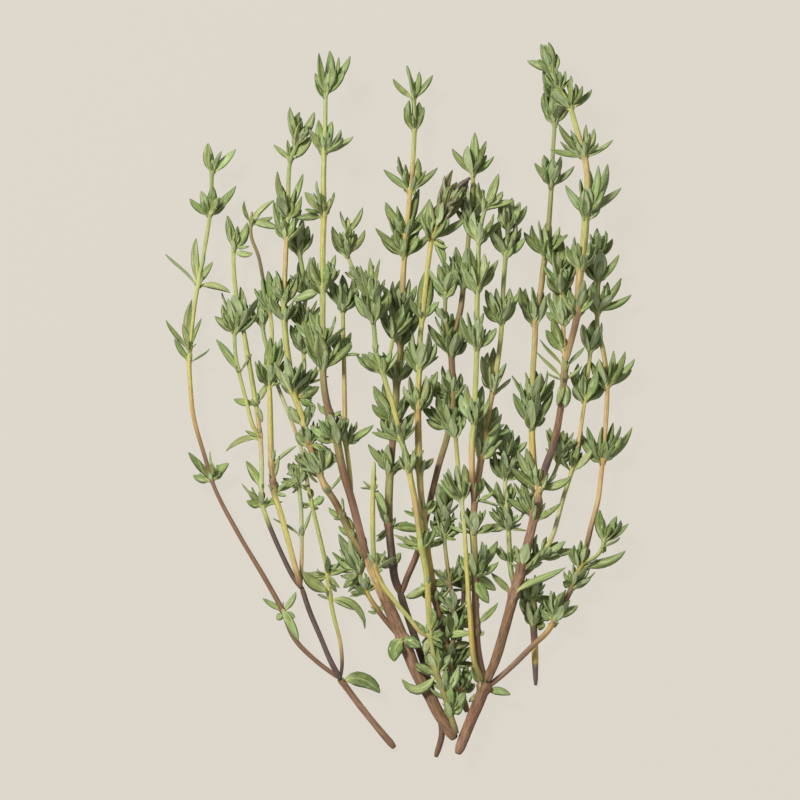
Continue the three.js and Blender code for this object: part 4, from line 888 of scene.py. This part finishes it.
# ---------------------------------------------------------------------------------------------------------
# The thick right sprig, with most of the branches: a woody base, a woody right stem that splits near its
# top, an inner and a front shoot, a yellow one beside them, four thinner ones, and a long outer one.
make_shoot(
    "right_base", 26, (1.2, 1.5, 1.4), {-89: "pink", -78: "red", -70: "wood"},
    [(14.5, -88.3, 5.2), (17.8, -80), (20, -74.7, 5.3), (21.5, -70.6, 5.4)],
    [(-71.9, 0.4, 0, (27.7, -73.7, 0.06, 2.3), (17.2, -75.6, 0, 1.6)),
     (-71.5, 0.3, 0, (17.9, -66.4, 0.05, 2.2))], cover="bark", tone=0.6,
)
make_shoot(
    "right_stem", 27, (1.15, 1.2, 1.15, 1.45, 1.1, 1.05, 0.95, 0.9, 0.85, 0.8),
    {-70: "wood", -56: "wood", -46: "pink", -41: "umber", -34: "pink", -26: "pink", -21: "peach",
     -17: "plum", -8: "wood", 0: "pink", 10: "olive"},
    [(21.4, -70.6, 5.4), (23.6, -65.8, 6), (26.2, -56.9, 6.5), (28.7, -48, 7), (30.9, -40.9, 7.5),
     (32.5, -33.9, 8), (34.1, -26.6, 8.4), (34.8, -21.7, 8.8), (36.4, -16.6, 9), (38.4, -10.8),
     (40.1, -2.2), (41.4, 10)],
    [(-48.6, 0.3, 0, (41.5, -41.8, -0.02, 2.6, 10), (22.8, -43.2, 0, 1.9)),
     (-42, 0.9, 4, (36, -37.4), (30, -37.8), (28.4, -41), (35.6, -40.4)),
     (-28.5, 1.1, 7, (28.4, -20.6), (31, -19.6), (27, -24.6, 0, 2.6), (30, -24)),
     (-21.5, 0.9, 4, (29.4, -12.6, 0.03, 3), (42.7, -19, -0.08, 2.4), (30, -24.6), (31.6, -12), (28, -17)),
     (8.4, 0.4, 1, (35, 15.2, 0.05, 1.3), (46.2, 13.4, -0.05, 1.3)),
     (5.6, 0.4, 1, (34.2, 12, 0.05, 1.3), (45.4, 8.6, -0.05, 1.3), (41.2, -1.9, 0, 3.2),
      (39.2, -1.4, 0, 2.2), (36.6, 7, 0.05, 1.2))], cover="bark",
)
make_shoot(
    "right_inner_shoot", 28, (1.05, 0.5),
    {-71: "wood", -52: "wood", -45: "umber", -38: "olive", -32: "yellow", -27: "pink", -12: "tan", 0: "tan",
     14: "lime", 45: "green"},
    [(21, -70.9, 5.4), (19.4, -63.3, 6.5), (18.9, -53.7, 7.2), (18.8, -44.1, 8), (18.6, -38.7, 8.4),
     (18.3, -32.3, 8.8), (18.6, -26, 9), (19.5, -19.6), (20.9, -10.8), (21.7, -6.5), (22.3, -2.2),
     (23.5, 4), (25, 14), (25.5, 20.5), (25.8, 28), (26, 31), (26.5, 37, 9.5), (27.2, 45, 10)],
    [(-58, 0.3, 0, (21, -57.8)), (-55.6, 0.3, 0, (24.5, -50.6, -0.08, 1.8)),
     (-43, 1.1, 7, (24.4, -35.2, -0.03, 2.6), (22.2, -50.8, 0.02, 3.8), (24, -47.6, 0.05, 2.8), (21.6, -36),
      (24.6, -40.4)), (-32.3, 1, 4, (24.6, -31.8), (21.4, -27.4), (12.2, -31.4, 0, 1.6), (15.4, -27)),
     (-24, 0.7, 2, (20.8, -19.4), (24.6, -26.4)),
     (-14, 1.15, 7, (19.4, -6.2, 0.03, 3), (25, -5.6, -0.03, 3), (22.4, -4.4), (17.6, -8), (25.6, -10)),
     (-8, 1, 5, (25.4, -3.4), (18.8, -2.6), (27.8, -7.6)),
     (3.2, 0.95, 6, (20.4, 11), (26.6, 9.3, 0, 1.8), (23.4, 13.2), (22, 12), (20.6, 6.6, 0, 2.4)),
     (19.6, 1.15, 9, (21.4, 27.6), (29.8, 27, -0.03, 2.2), (24, 28), (27.4, 28), (20.8, 23.6, 0.04, 2.6)),
     (36.6, 1.05, 7, (22.8, 43.4), (31.2, 40.6, -0.03, 2.2), (25, 44.6), (29, 44.6), (30.4, 43)),
     (43, 1.05, 7, (24.8, 49.6, 0.03, 2.2), (31.7, 48.6, -0.04, 2.2), (28, 50.6), (30, 49.6), (26.2, 50))],
)
make_shoot(
    "right_front_shoot", 29, (0.8, 0.5),
    {-25: "pink", -20: "wood", -17: "peach", -13: "peach", -8: "lime", 20: "lime", 50: "green"},
    [(18.6, -25, 9.6), (18, -18, 12), (17.9, -14.8, 12.6), (18, -10, 13), (18.5, -5, 13.5), (18.8, 3, 14),
     (19.2, 13.5), (19.2, 21), (19.3, 28), (19.5, 35, 13.5), (19.7, 40, 13), (20.5, 45, 12.5),
     (22, 50.5, 12)],
    [(-5, 1, 6, (15.2, 1.4), (22.2, 0.8), (16.8, 3.6), (20.6, 3.6)),
     (13.4, 1.1, 7, (15.2, 20.4), (24, 18, -0.04, 2.4), (20.8, 21.8), (16.8, 22), (18.6, 22.4)),
     (28, 1.1, 6, (24.5, 35, -0.04, 2.4), (15.4, 34.4), (23.6, 32), (17.4, 38), (21, 36.6)),
     (40, 1, 5, (16.2, 45.4), (24.8, 44.6, -0.03, 2.2), (18.4, 47)),
     (48.6, 0.8, 4, (24.6, 56.5, 0.01, 2.6), (28.6, 49.8, 0.01, 2), (19.6, 54.4))],
)
make_shoot(
    "right_yellow_shoot", 30, (0.65, 0.5),
    {-69: "olive", -60: "gold", -50: "yellow", -36: "yellow", -26: "pale", -16: "yellow", -8: "olive"},
    [(20.6, -70.2, 6.4), (18.6, -65.5, 8.6), (17.9, -60, 9.2), (17.6, -55, 9.6), (17.2, -50, 10.2),
     (16.8, -44, 10.6), (16.4, -37.5, 10.8), (16, -31), (15.4, -25.5, 10.6), (14.8, -20, 10.4),
     (14.4, -15.5, 10), (13.8, -8, 9.4)],
    [(-25, 1.05, 7, (10.8, -18.4), (17.4, -19.2), (10.2, -19.8), (14, -16.2), (15.9, -16), (12, -17)),
     (-9, 0.8, 4, (10.4, -5.6), (16.4, -4))],
)
make_shoot(
    "right_green_shoot", 31, (0.65, 0.5),
    {-47: "wood", -43: "green", -30: "lime", -20: "pale", -12: "green"},
    [(28.9, -47.4, 6.8), (27.8, -43, 5.4), (27.4, -37.8), (27.1, -31.4), (26.5, -25), (26.3, -19.4),
     (26.5, -12)],
    [(-40, 0.7, 2, (23.8, -36.8, 0, 2.2), (30, -37.4, 0, 1.8)),
     (-31, 1, 5, (20.8, -32.2, 0, 2.4), (31.6, -32.6, 0.01, 1.3), (22.2, -27.8), (31.4, -27), (24, -26.6)),
     (-26, 0.9, 4, (20.8, -19.6, 0.03, 1.5), (30.6, -24.4), (23.4, -23.4), (29, -21)),
     (-19.4, 1.1, 8, (23.6, -12), (31, -18.6), (28.6, -12), (22.8, -15.4), (30.4, -14)),
     (-13.5, 1.05, 7, (28.2, -7.4, -0.02, 2.4), (31.8, -10.4, -0.03, 2.4), (24.6, -8.6), (24, -13),
      (26.6, -6))],
)
make_shoot(
    "right_slim_shoot", 32, (0.55, 0.48),
    {-45: "wood", -39: "yellow", -30: "pale", -20: "lime", -10: "peach", 0: "yellow", 14: "lime"},
    [(31.4, -43.6, 7), (33.6, -41.4, 5.6), (35.8, -38.6, 5.4), (38.2, -33.9), (40.7, -25), (43.3, -16.6),
     (44.4, -12.3), (45.5, -5.1), (46.4, 1.2), (47, 6), (47.8, 14)],
    [(-38.8, 0.95, 6, (34.4, -36), (37.8, -35), (41.4, -35.2, 0, 2.4), (44.2, -37.4, 0, 2.4),
      (40.6, -38.8, 0, 2), (40, -36.4)),
     (-16.8, 0.7, 1, (38.8, -14.4, 0.01, 1.3), (48.6, -11.4, -0.03, 2.4), (45.6, -7.6), (47.4, -14.4)),
     (0.6, 1.1, 6, (42.6, 7, 0.03, 2.2), (50, 5.4, -0.03, 2), (47.2, 9.6), (44.6, 9.2), (49.4, 8.6)),
     (12.3, 1, 6, (45.6, 19, 0.03, 2.8), (50.6, 16.6, -0.03, 2), (48.6, 20.2), (50.4, 19.4))],
)
make_shoot(
    "right_small_shoot", 33, (0.5, 0.47), {-22: "orange", -18: "lime", -10: "green"},
    [(35, -22.2, 8.6), (37.6, -20, 6.4), (39.6, -15.5, 5.4), (40.2, -10.5)],
    [(-15, 0.8, 3, (36.4, -12), (43.4, -12.6)),
     (-12.6, 1, 6, (36.6, -7.4), (43.4, -8), (44.2, -10), (39, -6.4))],
)
make_shoot(
    "right_back_shoot", 34, (0.85, 0.75, 0.7, 0.6, 0.5),
    {-21: "orange", -10: "gold", -4: "lime", 20: "tan", 40: "olive", 76: "green"},
    [(34.5, -21.6, 8.2), (33.6, -18, 6), (33.1, -10.8, 5.2), (33, -6, 5), (33.2, 6.4), (33.7, 14), (34, 21),
     (35.3, 28), (36, 34), (36.6, 37), (37.3, 45), (37.9, 54), (38.3, 63), (38.7, 69.5), (38.6, 76)],
    [(-6, 1.15, 9, (28.2, 1.8, 0.03, 3), (38.2, 2.4, -0.03, 3), (31.6, 4), (36.4, -4.4, 0, 2), (34.6, 5),
      (30, 4.4)), (-1, 1.1, 7, (28, 6.2), (38.6, 5.2), (36.8, 7.4), (31.4, 7), (34, 7.4)),
     (20, 1.2, 10, (29.4, 26), (30, 27.8), (37.6, 27, -0.03, 2.4), (33, 28.4), (35.4, 28.2), (31.4, 28)),
     (36.8, 1.1, 8, (31, 42, 0.03, 2.4), (34.7, 45), (40, 43.4, -0.03, 2.2), (33, 43.8), (37.4, 45.4),
      (40.4, 41)),
     (54, 1.05, 6, (33.6, 59.4, 0.03, 2), (43.6, 58.5, -0.02, 1.8), (38, 61.4), (36, 61.4), (40.2, 61)),
     (69.5, 1.05, 8, (36, 77), (38.4, 80), (42, 75.4), (37, 79.4), (41, 78)),
     (75, 0.9, 5, (35.8, 83), (37.4, 82), (39.8, 80))], tone=0.46,
)
make_shoot(
    "right_peach_shoot", 35, (0.55, 0.5), {10: "tan", 20: "peach", 28: "tan", 35: "green"},
    [(41.3, 9.8, 8.8), (40.9, 14, 7.4), (40.8, 20, 7), (40.2, 28.5), (40.2, 35)],
    [(12.6, 0.5, 2, (36.4, 17.6, 0, 2.6), (38, 20.6, 0, 2.8), (39.2, 17.4)),
     (19.6, 1.1, 7, (37, 26.6), (44.2, 27.4), (38.6, 28.6), (42.4, 29.4), (36.4, 22, 0, 2.4), (44, 22.4)),
     (28, 1.1, 7, (44.8, 35.8, -0.03, 2.4), (35.8, 33.8), (38.2, 37), (42.6, 37.6), (37, 30.6, 0, 2.4)),
     (33, 1, 6, (40.2, 41.4), (37, 39), (43.6, 40))],
)
make_shoot(
    "right_tall_shoot", 36, (0.8, 0.9, 0.9, 0.7, 0.5),
    {10: "tan", 18: "wood", 30: "tan", 46: "lime", 60: "tan", 70: "lime", 86: "green"},
    [(41.4, 9.6, 9), (42.8, 15, 10.6), (43.8, 19, 11.2), (44.3, 22, 11.5), (44.8, 30, 12), (45.5, 36),
     (46.1, 41), (46.4, 46.5), (46.8, 55), (46, 61), (44, 68, 11.5), (42.3, 73.5, 11), (39.5, 78, 10.5),
     (37.8, 82, 10), (36.4, 86)],
    [(22, 1, 6, (40.6, 27), (47.4, 28.4), (46, 30)), (33, 1, 6, (41.6, 38.6), (48.8, 39), (43.6, 40.8)),
     (46.5, 1.15, 7, (41.2, 53.7, 0.03, 2.4), (55.3, 53, -0.02, 2.2), (51.8, 59), (49.4, 58.6), (45, 55.2),
      (52.2, 55.6), (47.4, 57.4)),
     (60.8, 1, 5, (53.2, 65, -0.03, 1.8), (48.4, 67.8, -0.04, 2), (37.4, 62.4, 0.03, 2),
      (39.5, 69, 0.03, 2), (40, 64.6), (42.6, 67.4)),
     (73.5, 1, 6, (42.6, 81), (47.9, 77.6, -0.04, 2), (37.6, 76), (43.8, 79), (38.2, 79.6), (44, 76)),
     (78.4, 0.9, 6, (38.6, 83), (41.2, 82.2), (42.8, 80.6), (36, 80)),
     (82.5, 0.9, 8, (37, 89.4), (31.7, 84.8, -0.03, 2.2), (35.2, 89, 0.03, 2.4), (37.6, 88.4, -0.03, 2.2))],
)
make_shoot(
    "right_outer_shoot", 37, (0.75, 0.5),
    {-71: "wood", -62: "wood", -57: "orange", -50: "umber", -44: "olive", -41: "gold", -35: "wood",
     -25: "peach", -15: "orange", -6: "peach", 6: "tan", 24: "lime", 39: "green"},
    [(21.6, -72, 5.2), (25.5, -68.9, 4.2), (28.7, -66, 4), (33.5, -61.2, 4.2), (37, -57.8, 4.6),
     (39.2, -53.9, 5), (41.5, -49.9), (43.7, -45.4), (45.6, -40.6), (47.9, -31.4), (49.5, -25.2),
     (50.4, -18), (50.8, -13.7), (51.5, -5.1), (51.8, 4), (50.9, 12), (49.4, 18), (49.4, 22.5),
     (49.6, 30, 5.2), (49.8, 39, 5.4)],
    [(-54, 1.1, 7, (44.6, -51.4, -0.04, 2.6), (36, -49.8), (38.6, -57, 0, 3), (35.4, -53.4, 0, 2.6),
      (41.5, -47.4), (37.8, -47.6)),
     (-46, 1, 4, (48.8, -43, -0.05, 1.3), (41, -42.8), (43.4, -41), (40.8, -45.4, 0, 2.2)),
     (-41.2, 0.8, 2, (56.4, -37.6, -0.08, 2.8), (43.6, -36.2), (46.8, -35.4), (41.8, -38)),
     (-15, 1.15, 8, (58.1, -6.8, -0.04, 2.4), (45.4, -9.4, 0.04, 2.2), (53.4, -5.6),
      (57.4, -9.4, -0.04, 2.4), (55.2, -6.4), (46.8, -6.6), (50.6, -6.6), (47, -12.8, 0.03, 2)),
     (3.6, 1.1, 7, (58.7, 10.4, -0.03, 2.2), (47.8, 9.6), (53.4, 12.4), (56.3, 12.2), (58, 7.6, -0.03, 2)),
     (22.6, 1.05, 5, (57.9, 26.4, -0.05, 2.4), (45.6, 27.4), (55.4, 30.6, -0.02, 2.4), (52, 29.6)),
     (30, 1.05, 6, (54.8, 36.4, -0.02, 2), (45.8, 35.6), (52.6, 34), (47.4, 37.6)),
     (36.4, 1, 5, (49.4, 43), (53.2, 40.4, -0.03, 2), (47.6, 41.6), (51.4, 42.4))],
)
make_shoot(
    "right_outer_side_shoot", 38, (0.45, 0.47), {-41: "lime", -33: "green"},
    [(45.6, -40.8, 5.2), (48.6, -39.4, 6.2), (50.3, -37.5, 6.4), (51.6, -33.5, 6.6)],
    [(-35, 0.9, 4, (50, -27.4, 0.04, 3), (54.2, -29), (57.2, -30.9, -0.03, 2), (55.2, -30), (49.4, -31),
      (50.8, -38.4, 0, 1.4))], tone=0.4,
)

# ---------------------------------------------------------------------------------------------------------
# The short cut piece at the right: a purple-grey cut end, a band of gold bark, and two whorls that are half
# hidden by the right stem.
make_shoot(
    "short_shoot", 39, (0.5, 0.78, 0.8, 1.05, 0.6),
    {-72: "plum", -66.5: "plum", -65.5: "gold", -62: "tan", -60.5: "red", -58: "dark", -54: "olive",
     -46: "green"},
    [(34, -71.4, 0.9), (33.8, -63.3, 1), (33.5, -56.9, 1.4), (33.4, -52.1, 2.2), (32.4, -46, 3.4)],
    [(-55, 1.1, 7, (37.8, -48.6), (36.4, -56.6, 0, 2.6), (30.4, -49.6), (37.8, -52.6, 0, 2.8), (31.4, -48)),
     (-49.5, 1.1, 8, (36.4, -46), (29.2, -44.4), (38.6, -49.6, 0.03, 2.2), (34.4, -44.2),
      (29, -47.6, 0, 2.4))], tone=0.35,
)
